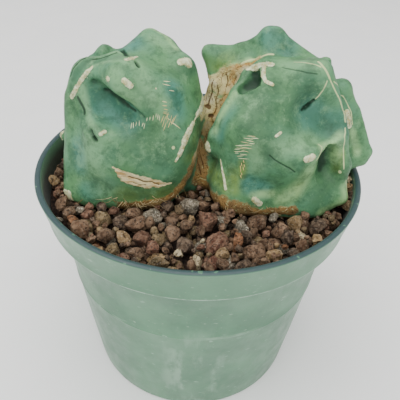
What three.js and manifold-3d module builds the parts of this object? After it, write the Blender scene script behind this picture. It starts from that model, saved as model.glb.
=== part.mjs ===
// A potted blue barrel cactus: one spineless, monstrose plant of two lumpy heads joined by corky
// tissue, rooted in lava grit in a thin plastic nursery pot.
// Millimetres, +Z up, origin at the centre of the pot's flat base, the front towards -Y.
import * as THREE from 'three';
import { mergeVertices } from 'three/addons/utils/BufferGeometryUtils.js';
import Module from 'manifold-3d';

const wasm = await Module();
wasm.setup();

// Pot
const potHeight = 81;
const rimRadius = 52.5;
const collarHeight = 12;
const collarFootRadius = 50;
const bodyTopRadius = 46.4;
const shoulderDrop = 2;
const baseRadius = 38.3;
const baseRounding = 1.2;
const wall = 1.3;
const rimRounding = 0.35;
const moldRingHeight = 44.5;
const moldRingWidth = 1.2;
const moldRingStep = 0.2;
const drainHoles = 8;
const drainRadius = 3.5;
const drainCircleRadius = 29;
const roundSteps = 60;
const drainSteps = 12;

// Grit
const gritTop = 73.8;
const clearance = 0.3;
const grainSpacing = 5.8;
const grainSmallest = 2.3;
const grainLargest = 3.5;
const blockBelow = 3;
const blockSide = 1.35;
// the next four are shares of a grain's own radius
const grainSink = 0.25;
const grainRise = 0.35;
const grainReach = 1.45;
const grainRoughness = 0.22;
const flattest = 0.7;
const grainTilt = 0.9;
const placeScatter = 1.2;
const angleScatter = 0.3;
const bigGrainShare = 0.12;
const bigGrainGrowth = 1.3;
const seed = 4127;

// Plant, whose heads close at plantFoot and whose hole in the grit leaves holeGap all round
const plantFoot = 69.5;
const footSoftness = 5;
const holeGap = 0.8;
const headsBlend = 2;
const neckBlend = 4;
const gridCell = 1.5;
const plantBox = { low: [-49, -28, 44], high: [60, 30, 130] };
const plantTriangles = 6000;
const holeBox = { low: [-49, -28, 44], high: [60, 30, 86] };
const holeTop = 83;
const holeTriangles = 1700;
const areoleHeight = 1.1;
const areoleSink = 0.25;

// Limits of the joining of flat edges
const shareOfEdges = 0.35;
const lengthCost = 1e-3;
const leastArea = 0.02;
const leastTurn = 0.5;

// Each form below has a distance, which is less than zero inside it, and a blend, over which it
// melts into what is there before it.
function softMin(a, b, k) {
  const h = Math.max(k - Math.abs(a - b), 0) / k;
  return Math.min(a, b) - h * h * k * 0.25;
}

function softMax(a, b, k) {
  return -softMin(-a, -b, k);
}

// An egg-shaped core.
function core(centre, radii, blend) {
  const [cx, cy, cz] = centre;
  const [rx, ry, rz] = radii;
  function distance(x, y, z) {
    const reach = Math.hypot((x - cx) / rx, (y - cy) / ry, (z - cz) / rz);
    const slope = Math.hypot((x - cx) / rx ** 2, (y - cy) / ry ** 2, (z - cz) / rz ** 2);
    return (reach * (reach - 1)) / Math.max(slope, 1e-6);
  }
  return { distance, blend };
}

// A round-ended bulge from one point to another, with a radius at each.
function bulge(from, to, fromRadius, toRadius, blend) {
  const [ax, ay, az] = from;
  const [bx, by, bz] = [to[0] - ax, to[1] - ay, to[2] - az];
  const square = bx * bx + by * by + bz * bz;
  function distance(x, y, z) {
    const along = ((x - ax) * bx + (y - ay) * by + (z - az) * bz) / square;
    const t = Math.min(Math.max(along, 0), 1);
    const away = Math.hypot(x - ax - t * bx, y - ay - t * by, z - az - t * bz);
    return away - fromRadius - (toRadius - fromRadius) * t;
  }
  return { distance, blend };
}

// A three-cornered rib with rounded edges.
function rib(a, b, c, radius, blend) {
  const corners = [a, b, c].map((corner) => new THREE.Vector3(...corner));
  const triangle = new THREE.Triangle(...corners);
  const point = new THREE.Vector3();
  const nearest = new THREE.Vector3();
  function distance(x, y, z) {
    point.set(x, y, z);
    triangle.closestPointToPoint(point, nearest);
    return nearest.distanceTo(point) - radius;
  }
  return { distance, blend };
}

const leftHead = [
  core([-21, 1, 92], [14, 14, 17], 4),
  core([-22, 1, 81], [18, 16, 14], 4),
  // the broad right shoulder and its pointed crest
  bulge([-17, 3, 111.5], [-13.5, 0, 96], 7.5, 10.5, 7),
  bulge([-13.5, -1, 96.5], [-13.5, -6, 84.5], 10.5, 9.5, 7),
  rib([-16.5, 8, 117], [-20, 3, 113.5], [-7.5, 2, 110], 2.4, 6),
  bulge([-6, -1, 113], [-8.5, 1, 105.5], 1.8, 6, 4),
  rib([-7.5, 1, 110.5], [-3.5, 0, 98.5], [-15.5, 0, 104], 3, 6),
  // the fold that hangs over the valley
  bulge([-30, -4, 112], [-21, -10, 112.5], 2.6, 4.5, 6),
  bulge([-21, -10, 112.5], [-15.5, -12, 107], 4.5, 4.5, 7),
  bulge([-25.5, 0, 112], [-16, -7, 108], 4, 6, 5),
  rib([-34, -4, 108], [-29.5, -14, 99], [-26.5, -6, 98], 2, 5),
  // the belly and its foot
  bulge([-23.5, -10, 90], [-12, -9, 87], 10, 9.5, 8),
  bulge([-29, -13, 98.5], [-28, -10, 90], 2.6, 8, 6),
  bulge([-32.5, -12, 76], [-15, -11, 77], 6.5, 6.5, 7),
  // the left rib and the low tubercle under it
  rib([-33, -3, 110.5], [-36.5, -6, 104.5], [-39, -11, 78], 1.8, 4),
  rib([-33, -3, 110.5], [-39, -11, 78], [-29, -6, 79], 4, 7),
  bulge([-38.5, -13, 76.5], [-34, -8, 78], 2.2, 7, 5),
  // tubercles behind the left edge
  bulge([-30, 9, 112], [-27.5, 6, 104], 2.2, 7, 3),
  bulge([-35.5, 7, 109], [-33, 4, 100], 1.8, 7, 3),
  bulge([-42.5, 4, 86.5], [-36, 2, 88], 2, 9, 5),
  // three blunt ribs on the back
  bulge([-34, 10, 106], [-37, 14, 92], 3, 5, 5),
  bulge([-37, 14, 92], [-33, 13, 76], 5, 5.5, 5),
  bulge([-24, 10, 111], [-24, 18, 95], 3, 5, 5),
  bulge([-24, 18, 95], [-23, 16, 76], 5, 6, 5),
  bulge([-13, 9, 108], [-10, 15, 93], 3, 5, 5),
  bulge([-10, 15, 93], [-11, 13, 76], 5, 6, 5),
];

const rightHead = [
  core([25, 1, 91], [17, 15, 17], 4),
  core([26, 1, 81], [19, 17, 14], 4),
  // the tall thin fin behind, and the corky face under it
  rib([2.5, 13, 112], [20.5, 9, 119], [18, 5, 108.5], 1.8, 5),
  rib([20.5, 9, 119], [32, 6, 111.5], [18, 5, 108.5], 2.2, 5),
  rib([2.5, 13, 112], [6.5, 6, 99], [18, 5, 108.5], 2.4, 4),
  rib([6.5, 6, 99], [18.5, 5, 108], [8, 0, 90], 2.8, 4),
  // the front dome with its sharp left edge
  bulge([18.5, -4, 109.5], [16, -9, 98.5], 4.6, 9, 5),
  bulge([16, -9, 98.5], [13.5, -11, 81.5], 9, 8.5, 6),
  rib([13, -8, 110], [6.5, -8, 94], [16, -14, 98], 1.8, 5),
  bulge([18.5, -4, 109.5], [24.5, -9, 92], 4.6, 11.5, 5),
  bulge([19, -3, 112.5], [31, -4, 114.5], 2.6, 3, 4),
  bulge([28, -6, 110], [35, -4, 99], 5, 7, 5),
  // the right ridge and the fin that reaches past the rim
  rib([34, -3, 114.5], [41, -8, 103.5], [43, -10, 89], 1.1, 3),
  rib([34, -3, 114.5], [43, -10, 89], [31.5, -2, 91.5], 3, 4),
  rib([42.5, 3, 107], [53.5, -1, 88], [45, -2, 82.5], 1.4, 2),
  rib([42.5, 3, 107], [45, -2, 82.5], [35.5, 3, 96], 3, 3),
  bulge([37, 5, 114], [36, 4, 109.5], 1.6, 4, 2),
  // the front tubercle, the low right lobe and the foot
  bulge([31, -18, 95.5], [27.5, -9, 86.5], 2.2, 9, 5),
  rib([45, -13, 78], [43, -9, 85.5], [31.5, -10, 76], 2.2, 6),
  bulge([12, -12, 77.5], [34.5, -12, 76], 6.5, 7, 7),
  // three blunt ribs on the back
  bulge([14, 12, 108], [12, 17, 94], 3, 5, 5),
  bulge([12, 17, 94], [13, 15, 76], 5, 6, 5),
  bulge([27, 10, 110], [28, 19, 94], 3, 5, 5),
  bulge([28, 19, 94], [26, 17, 76], 5, 6, 5),
  bulge([37, 8, 105], [41, 12, 91], 3, 4.5, 5),
  bulge([41, 12, 91], [38, 11, 76], 4.5, 5.5, 5),
];

const neck = [
  bulge([-12, 0, 79], [12, 0, 79], 8, 8, 5),
  bulge([0.5, 3, 95], [-0.5, 0, 76.5], 3.5, 5, 4),
];

const root = [
  bulge([-10, 1, 74], [0, 2, 64], 8, 7, 5),
  bulge([12, 1, 74], [0, 2, 64], 8, 7, 5),
  bulge([0, 2, 64], [1, 1, 50], 7, 3, 5),
];

// Hollows cut into the flesh.
const hollows = [
  // the valley under the left fold, and the crease between them
  bulge([-27.5, -12, 108.5], [-21.5, -17, 107.5], 5, 4, 4),
  bulge([-29, -10, 112], [-16, -16, 105], 0.9, 1.5, 1.6),
  // the teardrop hollow near the right apex
  bulge([12.5, -9, 111.5], [16, -5, 111.5], 1.9, 1.9, 1),
  // the right crease and the valley beside it
  bulge([31, -10.5, 109], [29, -11, 107], 0.7, 1.2, 1.2),
  bulge([32.5, -12.5, 108], [37, -13, 104], 4.5, 5, 5),
  // the pocket right of the front tubercle
  bulge([37.5, -12.5, 94], [38.5, -14, 89.5], 2.4, 3, 4.5),
];

// Areoles: woolly pads without spines. Each has a place near the surface, a length along a
// direction, and a width.
const areoles = [
  { at: [-25.5, -14, 114.5], along: [1, 0, 0], length: 2.2, width: 1.8 },
  { at: [-19.5, -16, 114.5], along: [1, 0, -0.6], length: 3.2, width: 2.2 },
  { at: [-18.5, -10, 118.5], along: [1, 0, 0.3], length: 3, width: 2 },
  { at: [-5, -1.5, 115], along: [1, 0, -0.8], length: 4.2, width: 3 },
  { at: [-27.5, -17.5, 100], along: [1, 0, 0.4], length: 2.4, width: 2 },
  { at: [-39, -17.5, 78], along: [0.3, 0, -1], length: 4, width: 2.6 },
  { at: [-33.5, -8, 112.5], along: [-0.6, -0.3, -1], length: 5, width: 1.6 },
  { at: [-36, -9, 109], along: [-0.5, -0.2, -1], length: 5, width: 1.8 },
  { at: [-1.8, -6, 98.7], along: [-0.5, -1, -0.3], length: 5.5, width: 1.8 },
  { at: [-4, -10.5, 97], along: [-0.4, -1, -0.5], length: 6, width: 2.2 },
  { at: [-6, -15, 93.5], along: [-0.4, -0.8, -1], length: 6, width: 1.8 },
  { at: [31.2, -20.5, 96.5], along: [1, 0, 0.6], length: 4, width: 2.6 },
  { at: [17, -3.5, 116], along: [1, 0, 0], length: 4.6, width: 2.4 },
  { at: [45.3, -1.2, 99.5], along: [0.4, 0, -1], length: 5, width: 2 },
  { at: [2.5, -2.5, 88], along: [0, 0, 1], length: 3.2, width: 2.2 },
  { at: [17.5, -20, 80.5], along: [1, 0, -0.4], length: 3.4, width: 2.8 },
  { at: [7.5, -17, 85], along: [0.3, 0, -1], length: 8, width: 1.6 },
  { at: [21.5, -17.5, 102], along: [1, 0, 0.6], length: 2, width: 1.4 },
  // on the ribs of the back and sides
  { at: [-42.5, 5, 87], along: [0, 0, 1], length: 3, width: 2.4 },
  { at: [-36.5, 17, 101], along: [0, 0, 1], length: 2.8, width: 2.2 },
  { at: [-38.5, 20, 86], along: [0, 0, 1], length: 2.8, width: 2.2 },
  { at: [-24, 22, 103], along: [0, 0, 1], length: 3, width: 2.2 },
  { at: [-24, 25, 88], along: [0, 0, 1], length: 3, width: 2.4 },
  { at: [-9.5, 20, 99], along: [0, 0, 1], length: 2.8, width: 2.2 },
  { at: [-10, 22, 84], along: [0, 0, 1], length: 2.6, width: 2.2 },
  { at: [12, 22, 101], along: [0, 0, 1], length: 2.8, width: 2.2 },
  { at: [12, 24, 86], along: [0, 0, 1], length: 2.8, width: 2.4 },
  { at: [28, 23, 103], along: [0, 0, 1], length: 3, width: 2.2 },
  { at: [28, 25, 87], along: [0, 0, 1], length: 3, width: 2.4 },
  { at: [41, 16, 99], along: [0, 0, 1], length: 2.8, width: 2 },
  { at: [45, 16, 85], along: [0, 0, 1], length: 2.8, width: 2.2 },
];

// Distance to forms melted together in their order.
function joined(lobes, x, y, z) {
  return lobes.reduce((d, lobe) => softMin(d, lobe.distance(x, y, z), lobe.blend), 1e3);
}

function plantDistance(x, y, z) {
  let d = softMin(joined(leftHead, x, y, z), joined(rightHead, x, y, z), headsBlend);
  d = softMin(d, joined(neck, x, y, z), neckBlend);
  d = softMax(d, plantFoot - z, footSoftness);
  d = softMin(d, joined(root, x, y, z), neckBlend);
  return hollows.reduce((e, hollow) => softMax(e, -hollow.distance(x, y, z), hollow.blend), d);
}

// The outward slope of a distance at a point.
function slope(distance, p) {
  const h = 0.05;
  return [0, 1, 2].map((axis) => {
    const ahead = [...p];
    const behind = [...p];
    ahead[axis] += h;
    behind[axis] -= h;
    return (distance(...ahead) - distance(...behind)) / (2 * h);
  });
}

// Moves a point onto the surface where the distance is zero.
function settle(distance, p) {
  let q = p;
  for (let step = 0; step < 3; step += 1) {
    const rise = slope(distance, q);
    const square = Math.max(rise.reduce((sum, r) => sum + r * r, 0), 0.25);
    const off = distance(...q) / square;
    q = q.map((value, axis) => value - off * rise[axis]);
  }
  return q;
}

// Samples a distance on a regular grid of cells.
function sampled(distance, box, cell) {
  const size = box.low.map((low, axis) => Math.ceil((box.high[axis] - low) / cell) + 1);
  const values = new Float64Array(size[0] * size[1] * size[2]);
  let index = 0;
  for (let k = 0; k < size[2]; k += 1) {
    for (let j = 0; j < size[1]; j += 1) {
      for (let i = 0; i < size[0]; i += 1) {
        values[index] = distance(box.low[0] + i * cell, box.low[1] + j * cell, box.low[2] + k * cell);
        index += 1;
      }
    }
  }
  return { size, values };
}

const cellCorners = [0, 1, 2, 3, 4, 5, 6, 7].map((n) => [n & 1, (n >> 1) & 1, (n >> 2) & 1]);
const cellFaces = [
  [0, 1, 3, 2], [4, 5, 7, 6], [0, 1, 5, 4], [2, 3, 7, 6], [0, 2, 6, 4], [1, 3, 7, 5],
];
const edgeName = (n, m) => Math.min(n, m) * 8 + Math.max(n, m);

// The loops in which a surface passes through a cell, each a list of the cell edges it crosses.
// On each face, every run of inside corners joins the two crossings at its ends.
function loopsOf(corner) {
  const loops = [];
  for (const face of cellFaces) {
    for (let n = 0; n < 4; n += 1) {
      if (corner[face[n]] >= 0 || corner[face[(n + 3) % 4]] < 0) continue;
      let last = n;
      while (corner[face[(last + 1) % 4]] < 0) last += 1;
      const pair = [
        edgeName(face[(n + 3) % 4], face[n]),
        edgeName(face[last % 4], face[(last + 1) % 4]),
      ];
      const met = loops.filter((loop) => pair.some((edge) => loop.has(edge)));
      const whole = new Set([...pair, ...met.flatMap((loop) => [...loop])]);
      met.forEach((loop) => loops.splice(loops.indexOf(loop), 1));
      loops.push(whole);
    }
  }
  return loops;
}

// The skin of a distance: one point in a cell for each loop of the surface through it, and a
// square across each grid edge that the surface crosses.
function skinOf(distance, box, cell) {
  const { size, values } = sampled(distance, box, cell);
  const strides = [1, size[0], size[0] * size[1]];
  const points = [];
  const pointOfLoop = new Map();
  const crossedCells = new Set();
  const triangles = [];
  const cornerSteps = cellCorners.map((c) => c[0] * strides[0] + c[1] * strides[1] + c[2] * strides[2]);
  for (let k = 0; k < size[2] - 1; k += 1) {
    for (let j = 0; j < size[1] - 1; j += 1) {
      for (let i = 0; i < size[0] - 1; i += 1) {
        const base = i + j * strides[1] + k * strides[2];
        const corner = cornerSteps.map((step) => values[base + step]);
        const inside = corner.filter((v) => v < 0).length;
        if (inside === 0 || inside === 8) continue;
        crossedCells.add(base);
        for (const loop of loopsOf(corner)) {
          const sum = [i, j, k].map((n) => n * loop.size);
          for (const edge of loop) {
            const [n, m] = [Math.floor(edge / 8), edge % 8];
            const t = corner[n] / (corner[n] - corner[m]);
            for (let axis = 0; axis < 3; axis += 1) {
              sum[axis] += cellCorners[n][axis] + t * (cellCorners[m][axis] - cellCorners[n][axis]);
            }
            pointOfLoop.set(base * 64 + edge, points.length);
          }
          const place = sum.map((total, axis) => box.low[axis] + (cell * total) / loop.size);
          points.push(settle(distance, place));
        }
      }
    }
  }
  for (let axis = 0; axis < 3; axis += 1) {
    const [uBit, vBit] = [1 << ((axis + 1) % 3), 1 << ((axis + 2) % 3)];
    const [u, v] = [strides[(axis + 1) % 3], strides[(axis + 2) % 3]];
    for (const base of crossedCells) {
      const here = values[base] < 0;
      if (here === values[base + strides[axis]] < 0) continue;
      // the four cells round the edge, and the corner of each at which the edge starts
      const round = [[0, 0], [u, uBit], [u + v, uBit + vBit], [v, vBit]];
      const square = round.map(([back, corner]) => {
        const edge = edgeName(corner, corner + (1 << axis));
        return pointOfLoop.get((base - back) * 64 + edge);
      });
      const [a, b, c, d] = here ? square : [...square].reverse();
      triangles.push([a, b, c], [a, c, d]);
    }
  }
  return { points, triangles };
}

const minus = (a, b) => [a[0] - b[0], a[1] - b[1], a[2] - b[2]];
const dot = (a, b) => a[0] * b[0] + a[1] * b[1] + a[2] * b[2];
const cross = (a, b) => [
  a[1] * b[2] - a[2] * b[1],
  a[2] * b[0] - a[0] * b[2],
  a[0] * b[1] - a[1] * b[0],
];

function normalOf(a, b, c) {
  const n = cross(minus(b, a), minus(c, a));
  const length = Math.hypot(...n) || 1;
  return { direction: n.map((v) => v / length), area: length / 2 };
}

// Joins the ends of the flattest short edges, pass by pass, until few enough triangles are left.
function simplified(mesh, wanted) {
  const points = mesh.points.map((p) => [...p]);
  let triangles = mesh.triangles.map((t) => [...t]);
  while (triangles.length > wanted) {
    const around = points.map(() => []);
    triangles.forEach((t, n) => t.forEach((v) => around[v].push(n)));
    const faces = triangles.map((t) => normalOf(...t.map((v) => points[v])));
    const flatness = (v, p) => around[v].reduce((sum, n) => {
      const { direction, area } = faces[n];
      return sum + area * dot(direction, minus(p, points[v])) ** 2;
    }, 0);
    const edges = [];
    for (const t of triangles) {
      for (let side = 0; side < 3; side += 1) {
        const [a, b] = [t[side], t[(side + 1) % 3]];
        if (a > b) continue;
        const middle = points[a].map((value, axis) => (value + points[b][axis]) / 2);
        const length = Math.hypot(...minus(points[a], points[b]));
        const places = [points[a], points[b], middle];
        const costs = places.map((p) => flatness(a, p) + flatness(b, p));
        const best = costs.indexOf(Math.min(...costs));
        edges.push({ a, b, place: places[best], cost: costs[best] + lengthCost * length ** 4 });
      }
    }
    edges.sort((e, f) => e.cost - f.cost);
    const touched = new Set();
    const target = points.map((p, n) => n);
    let spare = triangles.length - wanted;
    const allowed = edges[Math.floor(edges.length * shareOfEdges)].cost;
    for (const { a, b, place, cost } of edges) {
      if (spare <= 0 || cost > allowed) break;
      const ring = new Set([...around[a], ...around[b]]);
      const neighbours = (v) => new Set(around[v].flatMap((n) => triangles[n]).filter((w) => w !== v));
      const ringPoints = [...neighbours(a), ...neighbours(b)];
      if (touched.has(a) || touched.has(b) || ringPoints.some((v) => touched.has(v))) continue;
      const shared = [...neighbours(a)].filter((v) => neighbours(b).has(v));
      if (shared.length !== 2 || shared.some((v) => around[v].length < 5)) continue;
      const folds = [...ring].some((n) => {
        const t = triangles[n];
        if (t.includes(a) && t.includes(b)) return false;
        const moved = t.map((v) => (v === a || v === b ? place : points[v]));
        const after = normalOf(...moved);
        return after.area < leastArea || dot(after.direction, faces[n].direction) < leastTurn;
      });
      if (folds) continue;
      points[a] = place;
      target[b] = a;
      ringPoints.forEach((v) => touched.add(v));
      spare -= 2;
    }
    const before = triangles.length;
    triangles = triangles
      .map((t) => t.map((v) => target[v]))
      .filter(([a, b, c]) => a !== b && b !== c && c !== a);
    if (triangles.length === before) break;
  }
  return { points, triangles };
}

function solidOfMesh({ points, triangles }) {
  const used = [...new Set(triangles.flat())];
  const order = new Map(used.map((v, n) => [v, n]));
  const vertProperties = new Float32Array(used.flatMap((v) => points[v]));
  const triVerts = new Uint32Array(triangles.flat().map((v) => order.get(v)));
  return new wasm.Manifold(new wasm.Mesh({ numProp: 3, vertProperties, triVerts }));
}

function solidOfGeometry(geometry) {
  geometry.deleteAttribute('normal');
  geometry.deleteAttribute('uv');
  const merged = mergeVertices(geometry, 1e-4);
  const vertProperties = new Float32Array(merged.attributes.position.array);
  const triVerts = new Uint32Array(merged.index.array);
  return new wasm.Manifold(new wasm.Mesh({ numProp: 3, vertProperties, triVerts }));
}

// The largest body of a solid, without loose scraps and sealed pockets.
function mainBody(solid) {
  return solid.decompose().reduce((a, b) => (b.volume() > a.volume() ? b : a));
}

function meshOfSolid(solid, name, material) {
  const { vertProperties, triVerts } = solid.getMesh();
  const geometry = new THREE.BufferGeometry();
  geometry.setAttribute('position', new THREE.BufferAttribute(vertProperties, 3));
  geometry.setIndex(new THREE.BufferAttribute(triVerts, 1));
  geometry.computeVertexNormals();
  const mesh = new THREE.Mesh(geometry, material);
  mesh.name = name;
  return mesh;
}

// A solid turned about the Z axis from a closed run of radius and height.
function turned(profile) {
  const points = profile.map(([radius, height]) => new THREE.Vector2(radius, height));
  const geometry = new THREE.LatheGeometry(points, roundSteps);
  geometry.rotateX(Math.PI / 2);
  return solidOfGeometry(geometry);
}

// Radius of the pot's outer body at a height below the shoulder.
function bodyRadius(height) {
  const top = potHeight - collarHeight - shoulderDrop;
  return baseRadius + ((bodyTopRadius - baseRadius) * height) / top;
}

const collarFoot = potHeight - collarHeight;
const shoulderFoot = collarFoot - shoulderDrop;

// The pot's inner face, from the floor's centre to the rim, set in by a further gap.
function innerProfile(gap, top) {
  const inset = wall + gap;
  const collarInner = (height) =>
    collarFootRadius - inset + ((rimRadius - collarFootRadius) * (height - collarFoot)) / collarHeight;
  return [
    [0, inset],
    [bodyRadius(inset) - inset, inset],
    [bodyTopRadius - inset, shoulderFoot + inset],
    [collarInner(collarFoot) - gap, collarFoot + inset],
    [collarInner(top), top],
  ];
}

function makePot() {
  const ringFoot = moldRingHeight - moldRingWidth;
  const outer = [
    [0, 0],
    [baseRadius - baseRounding, 0],
    [baseRadius, baseRounding],
    [bodyRadius(ringFoot), ringFoot],
    [bodyRadius(moldRingHeight) + moldRingStep, moldRingHeight - moldRingStep],
    [bodyRadius(moldRingHeight), moldRingHeight + moldRingStep],
    [bodyTopRadius, shoulderFoot],
    [collarFootRadius - rimRounding, collarFoot - rimRounding],
    [collarFootRadius, collarFoot],
    [rimRadius, potHeight - rimRounding],
    [rimRadius - rimRounding, potHeight],
  ];
  const inner = innerProfile(0, potHeight - rimRounding).reverse();
  const lip = [rimRadius - wall + rimRounding, potHeight];
  let pot = turned([...outer, lip, ...inner]);
  for (let n = 0; n < drainHoles; n += 1) {
    const angle = ((n + 0.5) / drainHoles) * 2 * Math.PI;
    const drill = new THREE.CylinderGeometry(drainRadius, drainRadius, 4 * wall, drainSteps);
    drill.rotateX(Math.PI / 2);
    drill.translate(drainCircleRadius * Math.cos(angle), drainCircleRadius * Math.sin(angle), 0);
    pot = pot.subtract(solidOfGeometry(drill));
  }
  return pot;
}

function randomFrom(start) {
  let state = start;
  return () => {
    state = (Math.imul(state, 1664525) + 1013904223) >>> 0;
    return state / 4294967296;
  };
}

// One rough stone: a block, or a rounder one with twenty sides, with its corners moved at random.
function makeGrain(random, radius, place) {
  const block = radius < blockBelow
    ? new THREE.BoxGeometry(blockSide, blockSide, blockSide)
    : new THREE.IcosahedronGeometry(1, 0);
  block.deleteAttribute('normal');
  block.deleteAttribute('uv');
  const stone = mergeVertices(block, 1e-4);
  const corner = stone.attributes.position;
  const stretch = [1, 1 - (1 - flattest) * random(), 1 - (1 - flattest) * random()];
  for (let n = 0; n < corner.count; n += 1) {
    const swell = 1 + grainRoughness * (2 * random() - 1);
    corner.setXYZ(
      n,
      corner.getX(n) * swell * stretch[0] * radius,
      corner.getY(n) * swell * stretch[1] * radius,
      corner.getZ(n) * swell * stretch[2] * radius,
    );
  }
  stone.rotateZ(2 * Math.PI * random());
  stone.rotateX(grainTilt * random());
  stone.rotateZ(2 * Math.PI * random());
  stone.translate(...place);
  return solidOfGeometry(stone);
}

// Grains lie on rings round the pot's axis, each ring and each place moved a little at random.
function makeGrit(plantHole) {
  const random = randomFrom(seed);
  const edge = innerProfile(clearance, gritTop).at(-1)[0];
  const bed = turned([...innerProfile(clearance, gritTop), [0, gritTop]]);
  const grains = [];
  const rings = Math.floor(edge / grainSpacing);
  for (let ring = 0; ring <= rings; ring += 1) {
    const ringRadius = ring * grainSpacing;
    const places = Math.max(1, Math.round((2 * Math.PI * ringRadius) / grainSpacing));
    for (let n = 0; n < places; n += 1) {
      const big = random() < bigGrainShare ? bigGrainGrowth : 1;
      const radius = big * (grainSmallest + (grainLargest - grainSmallest) * random());
      const turn = n + 0.5 * (ring % 2) + angleScatter * (random() - 0.5);
      const angle = (turn / places) * 2 * Math.PI;
      const out = Math.min(ringRadius + placeScatter * (random() - 0.5), edge - grainReach * radius);
      const height = gritTop + radius * (grainRise * random() - grainSink);
      const place = [out * Math.cos(angle), out * Math.sin(angle), height];
      if (plantDistance(...place) < 0) continue;
      grains.push(makeGrain(random, radius, place));
    }
  }
  return mainBody(wasm.Manifold.union([bed, ...grains]).subtract(plantHole));
}

// A woolly pad lying on the skin at the surface point nearest to its stated place.
function makeAreole({ at, along, length, width }) {
  const place = settle(plantDistance, at);
  const out = new THREE.Vector3(...slope(plantDistance, place)).normalize();
  const side = new THREE.Vector3().crossVectors(out, new THREE.Vector3(...along)).normalize();
  const run = new THREE.Vector3().crossVectors(side, out);
  const pad = new THREE.IcosahedronGeometry(1, 0);
  pad.scale(length / 2, width / 2, areoleHeight);
  pad.applyMatrix4(new THREE.Matrix4().makeBasis(run, side, out));
  const sunk = new THREE.Vector3(...place).addScaledVector(out, -areoleSink);
  pad.translate(sunk.x, sunk.y, sunk.z);
  return solidOfGeometry(pad);
}

function makePlant() {
  const flesh = solidOfMesh(simplified(skinOf(plantDistance, plantBox, gridCell), plantTriangles));
  return mainBody(wasm.Manifold.union([flesh, ...areoles.map(makeAreole)]));
}

// What the buried part of the plant takes out of the grit.
function makePlantHole() {
  const distance = (x, y, z) => Math.max(plantDistance(x, y, z) - holeGap, z - holeTop);
  return solidOfMesh(simplified(skinOf(distance, holeBox, gridCell), holeTriangles));
}

const potPlastic = new THREE.MeshStandardMaterial({ color: 0x97b3a0, roughness: 0.5, metalness: 0 });
const lavaGrit = new THREE.MeshStandardMaterial({ color: 0x6c5145, roughness: 0.95, metalness: 0 });
const cactusSkin = new THREE.MeshStandardMaterial({ color: 0x789f86, roughness: 0.62, metalness: 0 });

const pottedCactus = new THREE.Group();
pottedCactus.add(
  meshOfSolid(makePot(), 'pot', potPlastic),
  meshOfSolid(makeGrit(makePlantHole()), 'soil', lavaGrit),
  meshOfSolid(makePlant(), 'cactus', cactusSkin),
);

export default pottedCactus;
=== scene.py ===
import logging
import math
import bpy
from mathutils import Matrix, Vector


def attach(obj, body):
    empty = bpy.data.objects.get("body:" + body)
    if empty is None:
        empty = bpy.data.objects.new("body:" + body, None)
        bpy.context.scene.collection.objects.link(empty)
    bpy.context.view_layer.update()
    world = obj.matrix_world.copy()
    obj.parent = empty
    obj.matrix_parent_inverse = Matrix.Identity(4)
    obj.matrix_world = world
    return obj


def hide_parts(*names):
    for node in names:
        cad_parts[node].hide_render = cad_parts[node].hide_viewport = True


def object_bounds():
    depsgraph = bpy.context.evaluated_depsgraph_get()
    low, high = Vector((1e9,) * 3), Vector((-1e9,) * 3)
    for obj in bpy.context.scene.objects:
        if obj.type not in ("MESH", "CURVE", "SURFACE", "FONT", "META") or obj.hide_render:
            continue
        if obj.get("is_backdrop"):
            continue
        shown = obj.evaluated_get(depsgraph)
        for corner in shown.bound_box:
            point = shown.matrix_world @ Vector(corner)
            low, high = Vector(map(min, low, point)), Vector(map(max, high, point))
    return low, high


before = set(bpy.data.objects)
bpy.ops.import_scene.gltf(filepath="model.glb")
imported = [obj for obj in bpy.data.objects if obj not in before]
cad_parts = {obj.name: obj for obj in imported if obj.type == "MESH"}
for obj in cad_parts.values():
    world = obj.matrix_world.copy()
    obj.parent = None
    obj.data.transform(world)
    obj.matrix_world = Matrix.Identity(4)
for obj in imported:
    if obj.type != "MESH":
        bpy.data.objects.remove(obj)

from concurrent.futures import ThreadPoolExecutor
from dataclasses import dataclass
from enum import Enum
from typing import Callable, Sequence, Union

import bpy
import numpy as np
from mathutils import Matrix, Quaternion, Vector, noise
from mathutils.bvhtree import BVHTree

log = logging.getLogger("potted_cactus")

Point = tuple[float, float, float]
Colour = tuple[float, float, float]
Range = tuple[float, float]
Piece = bpy.types.Object
Socket = bpy.types.NodeSocket
MM = 0.001
FAR = 1e3


class Body(Enum):
    """The CAD body that a piece rides on."""

    ROOT = "root"


class Slot(Enum):
    """The material slots that the pieces' finishes belong to."""

    POT = "pot_plastic"
    GRIT = "lava_grit"
    SKIN = "cactus_skin"


class Node(Enum):
    """The CAD nodes that pieces stand for."""

    POT = "pot"
    SOIL = "soil"
    CACTUS = "cactus"


class Mark(Enum):
    """What a mark on the skin is; the value names the attribute that carries it."""

    WOOL = "wool"
    CORK = "cork"
    SCAR = "scar"
    CRACK = "crack"
    PALE = "pale"
    # painted shadow in creases, pits, slits and hollows
    DARK = "dark"
    YELLOW = "yellow"
    # pale faded skin, and painted highlight on flanks and thin edges
    FADED = "faded"
    BLUE = "blue"
    # pale bloom, and painted highlight on tops, crests and ridge lines
    BLOOM = "bloom"
    SHADE = "shade"


class ScratchKind(Enum):
    """How a healed scratch is coloured; the value is its place on the scratch finish's scale."""

    WHITE = 0.0
    YELLOW = 0.5
    TAN = 1.0


def linear(red: int, green: int, blue: int) -> Colour:
    """Turns an sRGB colour of 0 to 255 into the linear colour that shaders use.

    Args:
        red: red part.
        green: green part.
        blue: blue part.

    Returns:
        The three linear parts, 0 to 1.
    """

    def part(value: int) -> float:
        """One part, from sRGB to linear."""
        share = value / 255
        return share / 12.92 if share <= 0.04045 else ((share + 0.055) / 1.055) ** 2.4

    return part(red), part(green), part(blue)


def deselect() -> None:
    """Deselects every object."""
    for thing in bpy.context.selected_objects:
        thing.select_set(False)


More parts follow.
